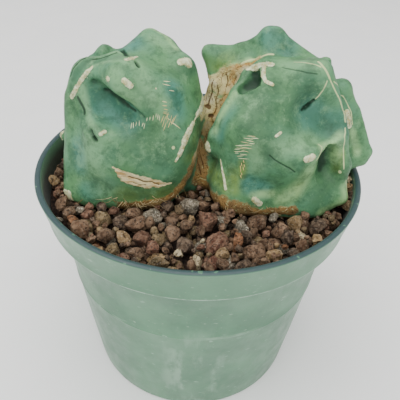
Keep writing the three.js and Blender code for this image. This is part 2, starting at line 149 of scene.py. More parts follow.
def object_of(name: str, points: np.ndarray, faces: Sequence[Sequence[int]]) -> Piece:
    """Makes a mesh object from points in millimetres.

    Args:
        name: the object's name.
        points: one row of three numbers for each vertex.
        faces: vertex numbers of each face, anticlockwise from outside.

    Returns:
        The new object, at the origin.
    """
    mesh = bpy.data.meshes.new(name)
    mesh.from_pydata((points * MM).tolist(), [], [list(map(int, face)) for face in faces])
    mesh.update()
    made = bpy.data.objects.new(name, mesh)
    bpy.context.scene.collection.objects.link(made)
    return made


def pick(thing: Piece) -> None:
    """Selects one object alone and makes it the active one."""
    deselect()
    bpy.context.view_layer.objects.active = thing
    thing.select_set(True)


def smooth(thing: Piece, angle: float = 180) -> None:
    """Shades an object smooth, apart from edges sharper than an angle in degrees."""
    pick(thing)
    if angle >= 180:
        bpy.ops.object.shade_smooth()
    else:
        bpy.ops.object.shade_smooth_by_angle(angle=math.radians(angle))
    thing.select_set(False)


def carry(thing: Piece, name: str, values: np.ndarray) -> None:
    """Stores a number for each vertex as an attribute of the mesh."""
    layer = thing.data.attributes.new(name, "FLOAT", "POINT")
    layer.data.foreach_set("value", values.astype(np.float32))


def drawn_up(name: str, outline: Sequence[tuple[float, float]], sides: int) -> Piece:
    """Draws a turned shape up from a disc: each step extrudes the last face and resizes it.

    Args:
        name: the object's name.
        outline: radius and height of each ring in millimetres, from the disc on.
        sides: how many corners a ring has.

    Returns:
        The shape, still in edit mode with its last face selected.
    """
    deselect()
    radius, height = outline[0]
    place = (0, 0, height * MM)
    bpy.ops.mesh.primitive_circle_add(vertices=sides, radius=radius * MM, fill_type="NGON", location=place)
    made = bpy.context.active_object
    made.name = name
    bpy.ops.object.mode_set(mode="EDIT")
    bpy.ops.mesh.select_mode(type="FACE")
    bpy.ops.mesh.select_all(action="SELECT")
    for to_radius, to_height in outline[1:]:
        rise = (to_height - height) * MM
        bpy.ops.mesh.extrude_region_move(TRANSFORM_OT_translate={"value": (0, 0, rise)})
        grow = to_radius / radius
        bpy.ops.transform.resize(value=(grow, grow, 1), center_override=(0, 0, to_height * MM))
        radius, height = to_radius, to_height
    return made


def closed_up() -> None:
    """Turns all faces of the mesh in edit mode outwards, and puts its place into the mesh."""
    bpy.ops.mesh.select_all(action="SELECT")
    bpy.ops.mesh.normals_make_consistent(inside=False)
    bpy.ops.object.mode_set(mode="OBJECT")
    bpy.ops.object.transform_apply(location=True, rotation=True, scale=True)


def declare(thing: Piece, slot: Slot, *nodes: Node) -> Piece:
    """Puts a finished piece on its body and hides the CAD parts that it stands for.

    Args:
        thing: the piece.
        slot: the material slot that its finish belongs to; not used.
        nodes: the CAD nodes that it stands for.

    Returns:
        The piece.
    """
    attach(thing, Body.ROOT.value)
    if nodes:
        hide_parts(*[node.value for node in nodes])
    thing.data.calc_loop_triangles()
    log.info("%s: %d triangles", thing.name, len(thing.data.loop_triangles))
    return thing


class Shader:
    """A node material that is being put together."""

    def __init__(self, name: str, roughness: float, specular: float) -> None:
        """Starts a material with one principled shader.

        Args:
            name: the material's name.
            roughness: roughness of the whole surface, where nothing is linked to it.
            specular: specular level of the whole surface.
        """
        self.material = bpy.data.materials.new(name)
        self.material.use_nodes = True
        self.tree = self.material.node_tree
        self.bsdf = self.tree.nodes["Principled BSDF"]
        self.bsdf.inputs["Roughness"].default_value = roughness
        self.bsdf.inputs["Specular IOR Level"].default_value = specular
        self.place = self.node("ShaderNodeTexCoord").outputs["Object"]

    def node(self, kind: str, **settings: object) -> bpy.types.Node:
        """Adds a node and sets its properties."""
        made = self.tree.nodes.new(kind)
        for key, value in settings.items():
            setattr(made, key, value)
        return made

    def feed(self, socket: Socket, value: object) -> None:
        """Links a socket to another, or sets its number or colour."""
        if isinstance(value, Socket):
            self.tree.links.new(value, socket)
        elif isinstance(value, tuple) and socket.type == "RGBA":
            socket.default_value = (*value, 1)
        else:
            socket.default_value = value

    def stretched(self, scale: Point) -> Socket:
        """Object coordinates multiplied along each axis."""
        mapping = self.node("ShaderNodeMapping")
        self.feed(mapping.inputs["Vector"], self.place)
        mapping.inputs["Scale"].default_value = scale
        return mapping.outputs["Vector"]

    def noise(
        self,
        scale: float,
        detail: float = 3,
        rough: float = 0.5,
        twist: float = 0,
        stretch: Point = (1, 1, 1),
    ) -> Socket:
        """A noise pattern.

        Args:
            scale: waves in a metre.
            detail: how many finer layers it has.
            rough: strength of the finer layers.
            twist: how much it is distorted.
            stretch: further scale along each axis.

        Returns:
            The noise, 0 to 1.
        """
        made = self.node("ShaderNodeTexNoise")
        self.feed(made.inputs["Vector"], self.stretched(stretch))
        names = ("Scale", "Detail", "Roughness", "Distortion")
        for name, value in zip(names, (scale, detail, rough, twist)):
            made.inputs[name].default_value = value
        return made.outputs["Fac"]

    def cells(self, scale: float) -> Socket:
        """Distance from the nearest middle in a pattern of cells."""
        made = self.node("ShaderNodeTexVoronoi", feature="F1")
        self.feed(made.inputs["Vector"], self.place)
        made.inputs["Scale"].default_value = scale
        return made.outputs["Distance"]

    def axis(self, name: str) -> Socket:
        """The X, Y or Z of the place, in metres."""
        split = self.node("ShaderNodeSeparateXYZ")
        self.feed(split.inputs["Vector"], self.place)
        return split.outputs[name]

    def attribute(self, name: str, output: str = "Fac") -> Socket:
        """An attribute of the mesh."""
        return self.node("ShaderNodeAttribute", attribute_name=name).outputs[output]

    def mark(self, kind: Mark) -> Socket:
        """The attribute of a mark on the skin."""
        return self.attribute(kind.value)

    def maths(self, operation: str, *values: object) -> Socket:
        """The result of an operation on numbers."""
        made = self.node("ShaderNodeMath", operation=operation)
        for socket, value in zip(made.inputs, values):
            self.feed(socket, value)
        return made.outputs[0]

    def times(self, first: object, second: object) -> Socket:
        """The product of two numbers."""
        return self.maths("MULTIPLY", first, second)

    def apart(self, first: object, second: object) -> Socket:
        """How far apart two numbers are."""
        return self.maths("ABSOLUTE", self.maths("SUBTRACT", first, second))

    def ramp(
        self, value: object, low: float, high: float, start: float = 0, end: float = 1.0
    ) -> Socket:
        """A soft step.

        Args:
            value: what is looked at.
            low: where the step starts.
            high: where it ends.
            start: the result below it.
            end: the result above it.

        Returns:
            The stepped number.
        """
        made = self.node("ShaderNodeMapRange", interpolation_type="SMOOTHSTEP")
        names = ("Value", "From Min", "From Max", "To Min", "To Max")
        for name, number in zip(names, (value, low, high, start, end)):
            self.feed(made.inputs[name], number)
        return made.outputs["Result"]

    def mix(self, share: object, first: object, second: object, blend: str = "MIX") -> Socket:
        """A mix of two colours.

        Args:
            share: how much of the second.
            first: the first colour.
            second: the second colour.
            blend: Blender's name of the way they mix.

        Returns:
            The mixed colour.
        """
        made = self.node("ShaderNodeMix", data_type="RGBA", blend_type=blend)
        for number, value in zip((0, 6, 7), (share, first, second)):
            self.feed(made.inputs[number], value)
        return made.outputs[2]

    def layered(self, colour: object, *layers: tuple[object, object]) -> Socket:
        """A colour with others laid over it in turn, each with its cover."""
        for cover, other in layers:
            colour = self.mix(cover, colour, other)
        return colour

    def edge(self, kind: Mark, ragged: object, strength: float = 0.4, softness: float = 0.06) -> Socket:
        """A mark's cover, with a ragged edge.

        Args:
            kind: the mark, whose attribute is 0.5 along its edge.
            ragged: noise that moves the edge.
            strength: how far the noise moves it, as a share of the mark's width.
            softness: how soft the edge is.

        Returns:
            The cover, 0 to 1.
        """
        shift = self.maths("MULTIPLY_ADD", ragged, strength, -0.5 * strength)
        total = self.maths("ADD", self.mark(kind), shift)
        return self.ramp(total, 0.5 - softness, 0.5 + softness)

    def paint(self, colour: object) -> None:
        """Gives the surface its colour."""
        self.feed(self.bsdf.inputs["Base Color"], colour)

    def translucent(self, weight: float, reach: Point, depth: float) -> None:
        """Lets light a little way under the surface, to a depth in millimetres."""
        self.bsdf.inputs["Subsurface Weight"].default_value = weight
        self.bsdf.inputs["Subsurface Radius"].default_value = reach
        self.bsdf.inputs["Subsurface Scale"].default_value = depth * MM

    def bumps(self, *layers: tuple[object, float]) -> None:
        """Adds bump layers, each a height and its size in millimetres."""
        normal = None
        for height, size in layers:
            made = self.node("ShaderNodeBump")
            made.inputs["Strength"].default_value = 1.0
            made.inputs["Distance"].default_value = size * MM
            self.feed(made.inputs["Height"], height)
            if normal is not None:
                self.feed(made.inputs["Normal"], normal)
            normal = made.outputs["Normal"]
        self.feed(self.bsdf.inputs["Normal"], normal)


@dataclass(frozen=True)
class PotPlasticFinish:
    """Thin, worn, milky nursery-pot plastic with a dark rim edge, and painted shade on its inner wall."""

    milky: Colour = linear(89, 133, 103)
    grey: Colour = linear(74, 116, 89)
    rim: Colour = linear(42, 64, 66)
    # inner: painted shade, the darker colour of the inner wall where it lies in shade
    inner: Colour = linear(50, 58, 44)
    scuff: Colour = linear(158, 184, 164)
    grime: Colour = linear(76, 96, 68)
    rim_height: float = 80.35
    rim_softness: float = 0.5
    lighter_from: float = 62.0
    lighter_to: float = 73.5
    collar_edge: float = 68.9
    ring_height: float = 44.5
    chalk_middle: float = 1.0
    chalk_half_width: float = 14.0
    chalk_top: float = 56.0

    def made(self) -> bpy.types.Material:
        """Returns the material."""
        s = Shader("pot_plastic_worn", roughness=0.42, specular=0.45)
        height = s.axis("Z")
        chalk = self.chalk(s)
        worn = s.ramp(s.noise(260, 3, 0.6), 0.3, 0.6)
        edge = s.times(s.ramp(s.apart(height, self.collar_edge * MM), 0.65 * MM, 0.15 * MM), worn)
        patchy = s.ramp(s.noise(60, 2), 0.5, 0.7, 0, 0.5)
        faint = s.times(s.ramp(s.apart(height, self.ring_height * MM), 0.9 * MM, 0.2 * MM), patchy)
        rim = s.ramp(height, self.rim_height * MM, (self.rim_height + self.rim_softness) * MM)
        nicked = s.ramp(s.noise(420, 2), 0.66, 0.7, 1, 0.3)
        s.paint(s.layered(
            self.milky,
            (s.ramp(s.noise(55, 4, 0.6), 0.35, 0.65), self.grey),
            # more milky and lighter towards the top
            (s.ramp(height, self.lighter_from * MM, self.lighter_to * MM, 0, 0.5), self.milky),
            (s.ramp(s.noise(320, 5, 0.7), 0.55, 0.75, 0, 0.35), self.grime),
            (chalk, self.scuff),
            (s.maths("MAXIMUM", edge, faint), self.scuff),
            # painted shade: the inner wall darkened
            (s.attribute("inside"), self.inner),
            (s.times(rim, nicked), self.rim),
        ))
        rough = s.ramp(s.noise(140, 4, 0.6), 0.3, 0.7, 0.34, 0.52)
        s.feed(s.bsdf.inputs["Roughness"], s.maths("ADD", rough, s.times(chalk, 0.2)))
        s.bsdf.inputs["Sheen Weight"].default_value = 0.08
        s.bsdf.inputs["Sheen Roughness"].default_value = 0.4
        s.translucent(0.12, (0.6, 1, 0.8), 2)
        s.bumps((s.noise(900, 3), 0.03), (s.noise(70, 2), 0.12))
        return s.material

    def chalk(self, s: Shader) -> Socket:
        """Cover of the chalky water marks down the front and of the fine scuffs all over."""
        across = s.ramp(s.apart(s.axis("X"), self.chalk_middle * MM), self.chalk_half_width * MM, 3 * MM)
        front = s.times(across, s.ramp(s.axis("Y"), -10 * MM, -30 * MM))
        low = s.times(front, s.ramp(s.axis("Z"), self.chalk_top * MM, 30 * MM))
        drips = s.ramp(s.noise(210, 4, 0.6, stretch=(1, 1, 0.35)), 0.47, 0.68, 0, 0.55)
        marks = s.times(low, drips)
        specks = s.ramp(s.noise(700, 2, 0.5, stretch=(0.55, 0.55, 1.4)), 0.66, 0.74, 0, 0.5)
        return s.maths("MAXIMUM", marks, specks)


@dataclass(frozen=True)
class GritFinish:
    """Rough, porous lava: the stone's own tint, speckled and pitted, with painted shade in its pores."""

    name: str = "lava_stone"
    dust: Colour = linear(188, 160, 132)
    shadow: Colour = (0.55, 0.52, 0.5)
    pore_shade: Colour = linear(34, 26, 22)
    fleck: Colour = linear(196, 188, 172)

    def made(self) -> bpy.types.Material:
        """Returns the material."""
        s = Shader(self.name, roughness=0.92, specular=0.25)
        tint = s.attribute("tint", "Color")
        mottle = s.ramp(s.noise(520, 4, 0.65), 0.3, 0.7)
        dark = s.mix(1, tint, self.shadow, "MULTIPLY")
        colour = s.mix(mottle, dark, s.mix(0.22, tint, self.dust))
        pores = s.ramp(s.noise(1500, 3, 0.6), 0.36, 0.46)
        # painted shade: the pores darkened
        colour = s.mix(s.ramp(pores, 1, 0, 0, 0.75), colour, self.pore_shade)
        flecks = s.times(s.ramp(s.noise(1900, 2), 0.58, 0.66), s.attribute("speckle"))
        s.paint(s.mix(flecks, colour, self.fleck))
        s.bumps((s.noise(700, 4, 0.6), 0.5), (pores, 0.15))
        return s.material


@dataclass(frozen=True)
class SoilFinish:
    """Dark, damp fines that show between the stones and through the drainage holes."""

    brown: Colour = linear(58, 44, 36)
    black: Colour = linear(24, 19, 16)

    def made(self) -> bpy.types.Material:
        """Returns the material."""
        s = Shader("soil_fines", roughness=0.95, specular=0.2)
        crumbs = s.noise(800, 4, 0.7)
        s.paint(s.mix(s.ramp(crumbs, 0.35, 0.65), self.black, self.brown))
        s.bumps((crumbs, 0.8))
        return s.material


@dataclass(frozen=True)
class SkinFinish:
    """Waxy blue-green skin, its bloom, corky tissue, a healed scar and woolly areoles, with painted shade in
    its creases and hollows and painted highlights on its tops and crests.
    """

    green: Colour = linear(88, 134, 90)
    blue: Colour = linear(76, 130, 112)
    yellow: Colour = linear(116, 142, 70)
    # pale bloom colour, also used for painted highlights
    bloom: Colour = linear(124, 168, 122)
    # pale faded skin colour, also used for painted highlights
    faded: Colour = linear(160, 200, 138)
    # deep green: the skin's dark green patches, and the colour of painted shade in creases and valleys
    deep_green_and_shade: Colour = linear(38, 70, 50)
    pale: Colour = linear(196, 204, 148)
    cork: Colour = linear(186, 174, 124)
    cork_brown: Colour = linear(130, 106, 68)
    rust: Colour = linear(164, 128, 72)
    cork_dark: Colour = linear(70, 50, 28)
    cork_grey: Colour = linear(180, 174, 146)
    scar: Colour = linear(222, 208, 160)
    scar_tan: Colour = linear(176, 138, 82)
    wool: Colour = linear(216, 222, 186)
    wool_dark: Colour = linear(184, 178, 122)
    crack: Colour = linear(74, 50, 28)
    # black deepens the painted shadow in creases and pits
    black: Colour = (0, 0, 0)
    darker_below: float = 78.5
    brown_to: float = 86.0
    pale_from: float = 100.0

    def made(self) -> bpy.types.Material:
        """Returns the material."""
        s = Shader("cactus_skin_waxy", roughness=0.5, specular=0.2)
        ragged = s.noise(900, 3, 0.6)
        cork = s.edge(Mark.CORK, s.noise(420, 4, 0.65), 0.9, 0.12)
        scar = s.edge(Mark.SCAR, ragged, 0.35)
        wool = s.edge(Mark.WOOL, ragged, 0.3)
        s.paint(s.layered(
            self.flesh(s),
            (cork, self.corky(s)),
            (scar, self.healed(s)),
            (wool, s.mix(s.ramp(ragged, 0.35, 0.6), self.wool_dark, self.wool)),
            (s.times(s.edge(Mark.CRACK, ragged, 0.4, 0.15), 0.9), self.crack),
        ))
        dry = s.maths("MAXIMUM", s.maths("MAXIMUM", cork, scar), wool)
        waxy = s.ramp(s.noise(120, 3), 0.3, 0.7, 0.42, 0.58)
        s.feed(s.bsdf.inputs["Roughness"], s.maths("MAXIMUM", waxy, s.times(dry, 0.9)))
        s.translucent(0.08, (0.6, 1, 0.5), 1.5)
        grain = s.times(s.noise(1300, 4, 0.7), s.maths("MULTIPLY_ADD", dry, 0.9, 0.1))
        s.bumps((s.noise(260, 3, 0.55), 0.12), (grain, 0.35))
        return s.material

    def flesh(self, s: Shader) -> Socket:
        """Colour of the green skin, with painted shade in its creases and hollows and painted highlights on
        its tops, crests and flanks.
        """
        drift = s.ramp(s.noise(60, 3, 0.55), 0.4, 0.66, 0, 0.4)
        blue = s.maths("ADD", drift, s.ramp(s.mark(Mark.BLUE), 0.1, 0.8, 0, 0.75))
        uneven = s.ramp(s.noise(150, 4, 0.6), 0.25, 0.7, 0.3, 0.95)
        crest = s.attribute("crest")
        # paler on crests: pale bloom and painted highlight
        crest_bloom_and_highlight = s.times(s.ramp(crest, 0.62, 1, 0, 0.7), uneven)
        dotted = s.ramp(s.noise(110, 2), 0.45, 0.65, 0, 0.22)
        worn = s.edge(Mark.PALE, s.noise(500, 3), 0.4, 0.16)
        return s.layered(
            self.green,
            (s.maths("MINIMUM", blue, 1), self.blue),
            (s.times(s.ramp(s.mark(Mark.YELLOW), 0.1, 0.9), uneven), self.yellow),
            # painted shade: darker green beside creases, in valleys and on faces turned away
            (s.ramp(s.mark(Mark.SHADE), 0, 0.9, 0, 0.5), self.deep_green_and_shade),
            # pale bloom and painted highlight on crests, tops and ridge lines
            (s.maths("MAXIMUM", crest_bloom_and_highlight, s.ramp(s.mark(Mark.BLOOM), 0, 0.95, 0, 0.6)), self.bloom),
            # pale faded skin and painted highlight
            (s.times(s.ramp(s.mark(Mark.FADED), 0.05, 0.9, 0, 0.9), uneven), self.faded),
            # painted shade in creases, where the surface bends inwards
            (s.ramp(crest, 0.45, 0.05, 0, 0.7), self.deep_green_and_shade),
            (s.ramp(s.noise(190, 6, 0.72, 0.3), 0.44, 0.66, 0, 0.55), self.deep_green_and_shade),
            (s.ramp(s.noise(270, 6, 0.72, 0.2), 0.5, 0.7, 0, 0.45), self.bloom),
            (s.ramp(s.noise(620, 4, 0.6), 0.52, 0.68, 0, 0.3), self.deep_green_and_shade),
            (s.times(s.ramp(s.cells(900), 0.3, 0.1), dotted), self.bloom),
            # painted shadow along creases, pits and hollows
            (s.ramp(s.mark(Mark.DARK), 0.15, 0.75, 0, 0.9), s.mix(0.5, self.deep_green_and_shade, self.black)),
            (s.times(worn, 0.85), self.pale),
        )

    def corky(self, s: Shader) -> Socket:
        """Colour of the tan, flaking cork with its dark veins."""
        high = s.maths("ADD", s.axis("Z"), s.maths("MULTIPLY_ADD", s.noise(120, 2), 12 * MM, -6 * MM))
        grey = s.times(s.ramp(s.noise(190, 3), 0.5, 0.68, 0, 0.8), s.ramp(high, 80 * MM, 94 * MM))
        rusty = s.times(s.ramp(s.mark(Mark.YELLOW), 0.1, 0.7), s.ramp(s.noise(300, 3), 0.3, 0.6))
        stained = s.ramp(s.noise(160, 4, 0.6), 0.5, 0.62)
        low = s.times(stained, s.ramp(high, 96 * MM, self.brown_to * MM, 0, 0.5))
        flecks = s.ramp(s.noise(620, 5, 0.7, 1), 0.56, 0.66)
        flakes = s.noise(430, 6, 0.75, 1.5, (1, 1, 0.5))
        veins = s.apart(s.noise(170, 4, 0.62, 1.6), 0.5)
        return s.layered(
            self.cork_brown,
            (s.ramp(high, self.brown_to * MM, self.pale_from * MM), self.cork),
            (grey, self.cork_grey),
            (s.maths("MAXIMUM", rusty, low), self.rust),
            (s.times(flecks, s.ramp(high, 90 * MM, 78 * MM, 0.15, 0.75)), self.pale),
            (s.ramp(flakes, 0.36, 0.44, 0.75, 0), self.cork_dark),
            (s.ramp(veins, 0.018, 0.004, 0, 0.8), self.cork_dark),
            # darker towards the bottom of the cork
            (s.ramp(s.axis("Z"), self.darker_below * MM, 73 * MM, 0, 0.5), self.cork_dark),
        )

    def healed(self, s: Shader) -> Socket:
        """Colour of the cream scar and its tan streaks."""
        streaks = s.noise(620, 4, 0.65, 0.8, (0.35, 1, 1))
        colour = s.mix(s.ramp(streaks, 0.46, 0.62, 0, 0.85), self.scar, self.scar_tan)
        return s.mix(s.ramp(streaks, 0.34, 0.26, 0, 0.6), colour, self.crack)


@dataclass(frozen=True)
class StrandFinish:
    """Dry plant fibre, from cream wool to brown root hair along the attribute called tone."""

    name: str
    light: Colour
    dark: Colour
    rough: float = 0.85

    def made(self) -> bpy.types.Material:
        """Returns the material."""
        s = Shader(self.name, roughness=self.rough, specular=0.2)
        tone = s.maths("ADD", s.attribute("tone"), s.ramp(s.noise(1200, 2), 0.3, 0.7, -0.2, 0.2))
        s.paint(s.mix(s.ramp(tone, 0, 1), self.light, self.dark))
        s.bumps((s.noise(2600, 2), 0.05))
        return s.material


@dataclass(frozen=True)
class FloorFinish:
    """A matt, pale tabletop with a hardly visible grain."""

    pale: Colour = (0.88, 0.885, 0.88)
    paler: Colour = (0.9, 0.9, 0.895)

    def made(self) -> bpy.types.Material:
        """Returns the material."""
        s = Shader("floor_pale", roughness=0.75, specular=0.1)
        grain = s.ramp(s.noise(30, 3), 0.3, 0.7)
        s.paint(s.mix(grain, self.pale, self.paler))
        return s.material


def soft_min(a: np.ndarray, b: np.ndarray, blend: float) -> np.ndarray:
    """The lesser of two distances, rounded where they meet.

    Args:
        a: the first distance.
        b: the second distance.
        blend: over how many millimetres they melt together.

    Returns:
        The melted distance.
    """
    share = np.maximum(blend - np.abs(a - b), 0) / blend
    return np.minimum(a, b) - share * share * blend * 0.25


def soft_max(a: np.ndarray, b: np.ndarray, blend: float) -> np.ndarray:
    """The greater of two distances, rounded where they meet."""
    return -soft_min(-a, -b, blend)


def along_segment(places: np.ndarray, start: Point, end: Point) -> tuple[np.ndarray, np.ndarray]:
    """Looks for the nearest place on a segment.

    Args:
        places: points, one a row.
        start: the segment's start.
        end: its end.

    Returns:
        Distance to the segment, and how far along it the nearest place is, 0 to 1.
    """
    a = np.array(start, float)
    run = np.array(end, float) - a
    rel = places - a
    share = np.clip(rel @ run / max(float(run @ run), 1e-9), 0, 1)
    away = rel - share[:, None] * run
    return np.sqrt(np.einsum("ij,ij->i", away, away)), share


@dataclass(frozen=True)
class Core:
    """An egg-shaped body of flesh."""

    centre: Point
    radii: Point
    blend: float

    def distance(self, places: np.ndarray) -> np.ndarray:
        """Distance from its surface, less than zero inside."""
        rel = (places - np.array(self.centre)) / np.array(self.radii)
        reach = np.sqrt(np.einsum("ij,ij->i", rel, rel))
        steep = rel / np.array(self.radii)
        slope = np.sqrt(np.einsum("ij,ij->i", steep, steep))
        return reach * (reach - 1) / np.maximum(slope, 1e-6)


@dataclass(frozen=True)
class Bulge:
    """A round-ended swelling from one point to another, with a radius at each."""

    start: Point
    end: Point
    start_radius: float
    end_radius: float
    blend: float

    def distance(self, places: np.ndarray) -> np.ndarray:
        """Distance from its surface, less than zero inside."""
        away, share = along_segment(places, self.start, self.end)
        return away - self.start_radius - (self.end_radius - self.start_radius) * share


@dataclass(frozen=True)
class Rib:
    """A three-cornered rib with rounded edges."""

    a: Point
    b: Point
    c: Point
    radius: float
    blend: float

    def distance(self, places: np.ndarray) -> np.ndarray:
        """Distance from its surface, less than zero inside."""
        corners = [np.array(corner, float) for corner in (self.a, self.b, self.c)]
        normal = np.cross(corners[1] - corners[0], corners[2] - corners[0])
        normal /= np.linalg.norm(normal)
        near = np.full(len(places), np.inf)
        over = np.ones(len(places), bool)
        for number, corner in enumerate(corners):
            after = corners[(number + 1) % 3]
            near = np.minimum(near, along_segment(places, tuple(corner), tuple(after))[0])
            over &= (places - corner) @ np.cross(normal, after - corner) > 0
        flat = np.abs((places - corners[0]) @ normal)
        return np.where(over, flat, near) - self.radius


Form = Union[Core, Bulge, Rib]


def chain(blend: float, *stops: tuple[Point, float]) -> tuple[Bulge, ...]:
    """Bulges from stop to stop, each stop a point and its radius."""
    return tuple(Bulge(a, b, wide, narrow, blend) for (a, wide), (b, narrow) in zip(stops, stops[1:]))


LEFT_HEAD: tuple[Form, ...] = (
    Core((-21, 1, 92), (14, 14, 17), 4),
    Core((-22, 1, 81), (18, 16, 14), 4),
    # the broad right shoulder and its pointed crest
    Bulge((-17, 3, 111.5), (-13.5, 0, 96), 7.5, 10.5, 7),
    Bulge((-13.5, -1, 96.5), (-13.5, -6, 84.5), 10.5, 9.5, 7),
    Rib((-16.2, 8.2, 118.2), (-20, 3, 113.8), (-7.2, 2, 111), 2, 6),
    Rib((-16.2, 8.2, 118.2), (-11.2, 7, 116.2), (-12, 2, 110), 1.7, 4),
    Rib((-11.2, 7, 116), (-7.2, 2.4, 114.6), (-12, 2, 108), 1.5, 4),
    Bulge((-10.8, -6, 107.5), (-9.5, -7.5, 97), 6, 7.5, 7),
    Bulge((-5.2, -1, 113.4), (-7.1, 0, 105.8), 1.9, 6, 4),
    Rib((-6.4, 1, 110.5), (-3.4, 0, 98.5), (-15.5, 0, 104), 3, 6),
    # the fold that hangs over the valley
    Bulge((-30, -4, 112), (-21, -10, 112.5), 2.6, 4.5, 6),
    Bulge((-21, -10, 112.5), (-15.5, -12, 107), 4.5, 4.5, 7),
    Bulge((-25.5, 0, 112), (-16, -7, 108), 4, 6, 5),
    Rib((-34, -4, 108), (-29.5, -14, 99), (-26.5, -6, 98), 2, 5),
    # the belly and its foot
    Bulge((-23.5, -10, 90), (-12, -9, 87), 10, 9.5, 8),
    Bulge((-29, -13, 98.5), (-28, -10, 90), 2.6, 8, 6),
    Bulge((-32.5, -12, 76), (-15, -11, 77), 6.5, 6.5, 7),
    # the left rib and the low tubercle under it
    Rib((-34, -3, 111), (-38, -5, 104.8), (-38.6, -11.5, 78), 1.8, 4),
    Rib((-33, -3, 110.5), (-37.2, -10, 79), (-29, -6, 79), 3.7, 6),
    Bulge((-38, -13.6, 76.5), (-33.5, -8.5, 78), 2.1, 6.2, 4),
    # tubercles behind the left edge
    Bulge((-29.8, 8, 112.8), (-27.5, 6, 104), 1.9, 7, 2.4),
    Rib((-33.4, 7.6, 111.2), (-30, 7.6, 114.4), (-28, 6, 108), 1.4, 2.4),
    Bulge((-35.5, 7, 109), (-33, 4, 100), 1.8, 7, 3),
    Bulge((-43.8, 3, 86.5), (-35, 2, 87), 1.7, 7.4, 3.5),
    Bulge((-41.4, 3, 91), (-36, 2, 91), 1.4, 6, 3.5),
    # three blunt ribs on the back
    *chain(5, ((-34, 10, 106), 3), ((-37, 14, 92), 5), ((-33, 13, 76), 5.5)),
    *chain(5, ((-24, 10, 111), 3), ((-24, 18, 95), 5), ((-23, 16, 76), 6)),
    *chain(5, ((-13, 9, 108), 3), ((-10, 15, 93), 5), ((-11, 13, 76), 6)),
)

RIGHT_HEAD: tuple[Form, ...] = (
    Core((25, 1, 91), (17, 15, 17), 4),
    Core((26, 1, 81), (19, 17, 14), 4),
    # the tall thin fin behind, and the corky face under it
    Rib((1.5, 13.4, 113.4), (11.6, 11, 115.6), (16, 5, 108.5), 1.3, 4),
    Rib((11.6, 11, 115.6), (18.8, 9.6, 120.6), (18, 5, 108.5), 1.3, 2.5),
    Rib((21.8, 9.2, 120.5), (33, 5.4, 114.3), (18, 5, 108.5), 1.7, 5),
    Rib((18.8, 9.6, 120.6), (21.8, 9.2, 120.6), (20, 6, 112), 1.4, 2.5),
    Rib((2.2, 13, 112), (6.5, 6, 99), (18, 5, 108.5), 2.2, 4),
    Rib((6.5, 6, 99), (18.5, 5, 108), (8, 0, 90), 2.8, 4),
    *chain(3, ((3.6, 5.4, 106), 1.5), ((2.8, 5, 98), 2.2), ((3.6, 5, 91), 2.2)),
    # the front dome with its sharp left edge
    Bulge((18.5, -4, 109.5), (16, -9, 98.5), 4.6, 9, 5),
    Bulge((16, -9, 98.5), (13.5, -11, 81.5), 9, 8.5, 6),
    Rib((9.8, -5.4, 108.4), (4.4, -8, 95.4), (16, -13, 99), 1.3, 4),
    *chain(1.5, ((9.6, -5.2, 108.2), 1.1), ((12.8, -1.2, 112.2), 1.1), ((16, 0.4, 113.2), 1.7)),
    Rib((4.4, -8, 95.4), (3.2, -8, 91.2), (14, -15, 95), 1.2, 3),
    Rib((3.2, -8, 91.2), (5, -9, 89.6), (14, -14, 94), 1.1, 2),
    Bulge((18.5, -4, 109.5), (24.5, -9, 92), 4.6, 11.5, 5),
    Bulge((19, -3, 112.5), (31, -4, 114.5), 2.6, 3, 4),
    Bulge((19.5, 1.4, 113.8), (31.5, 0.6, 114), 2.6, 2.8, 4),
    Bulge((28, -6, 110), (35, -4, 99), 5, 7, 5),
    # the right ridge and the fin that reaches past the rim
    Rib((34, -3, 114.5), (41, -8, 103.5), (43, -10, 89), 1.1, 3),
    Rib((34, -3, 114.5), (43, -10, 89), (31.5, -2, 91.5), 3, 4),
    Rib((42.5, 3, 107), (53.5, -1, 88), (45, -2, 82.5), 1.4, 2),
    Rib((42.2, 3, 107.4), (48, 1.2, 101.6), (53.6, -1.2, 88), 1.1, 2),
    Rib((53.7, -1.2, 88), (52.6, -2, 85.2), (44, -4, 84), 1.2, 2),
    Rib((52.4, -1, 84.8), (48.4, -0.6, 81.4), (43, -2, 88), 1.2, 3),
    Rib((42.5, 3, 107), (45, -2, 82.5), (35.5, 3, 96), 3, 3),
    Bulge((36.6, 5.2, 114.3), (36, 4, 110), 1.8, 3.8, 1.6),
    # the front tubercle, the low right lobe and the foot
    Bulge((31, -18.2, 95.3), (27.5, -9, 86.2), 2.1, 8.8, 4),
    Rib((32.6, -16.8, 96.6), (42, -10.2, 98.2), (36, -7, 98), 1.1, 3),
    Rib((45, -13, 78), (43, -9, 85.5), (31.5, -10, 76), 2.2, 6),
    Bulge((12, -12, 77.5), (34.5, -12, 76), 6.5, 7, 7),
    # three blunt ribs on the back
    *chain(5, ((14, 12, 108), 3), ((12, 17, 94), 5), ((13, 15, 76), 6)),
    *chain(5, ((27, 10, 110), 3), ((28, 19, 94), 5), ((26, 17, 76), 6)),
    *chain(5, ((37, 8, 105), 3), ((41, 12, 91), 4.5), ((38, 11, 76), 5.5)),
)

NECK: tuple[Form, ...] = (
    Bulge((-12, 0, 79), (12, 0, 79), 8, 8, 5),
    Bulge((0.5, 3, 95), (-0.5, 0, 76.5), 3.5, 5, 4),
)

ROOT: tuple[Form, ...] = (
    Bulge((-10, 1, 74), (0, 2, 64), 8, 7, 5),
    *chain(5, ((12, 1, 74), 8), ((0, 2, 64), 7), ((1, 1, 50), 3)),
)

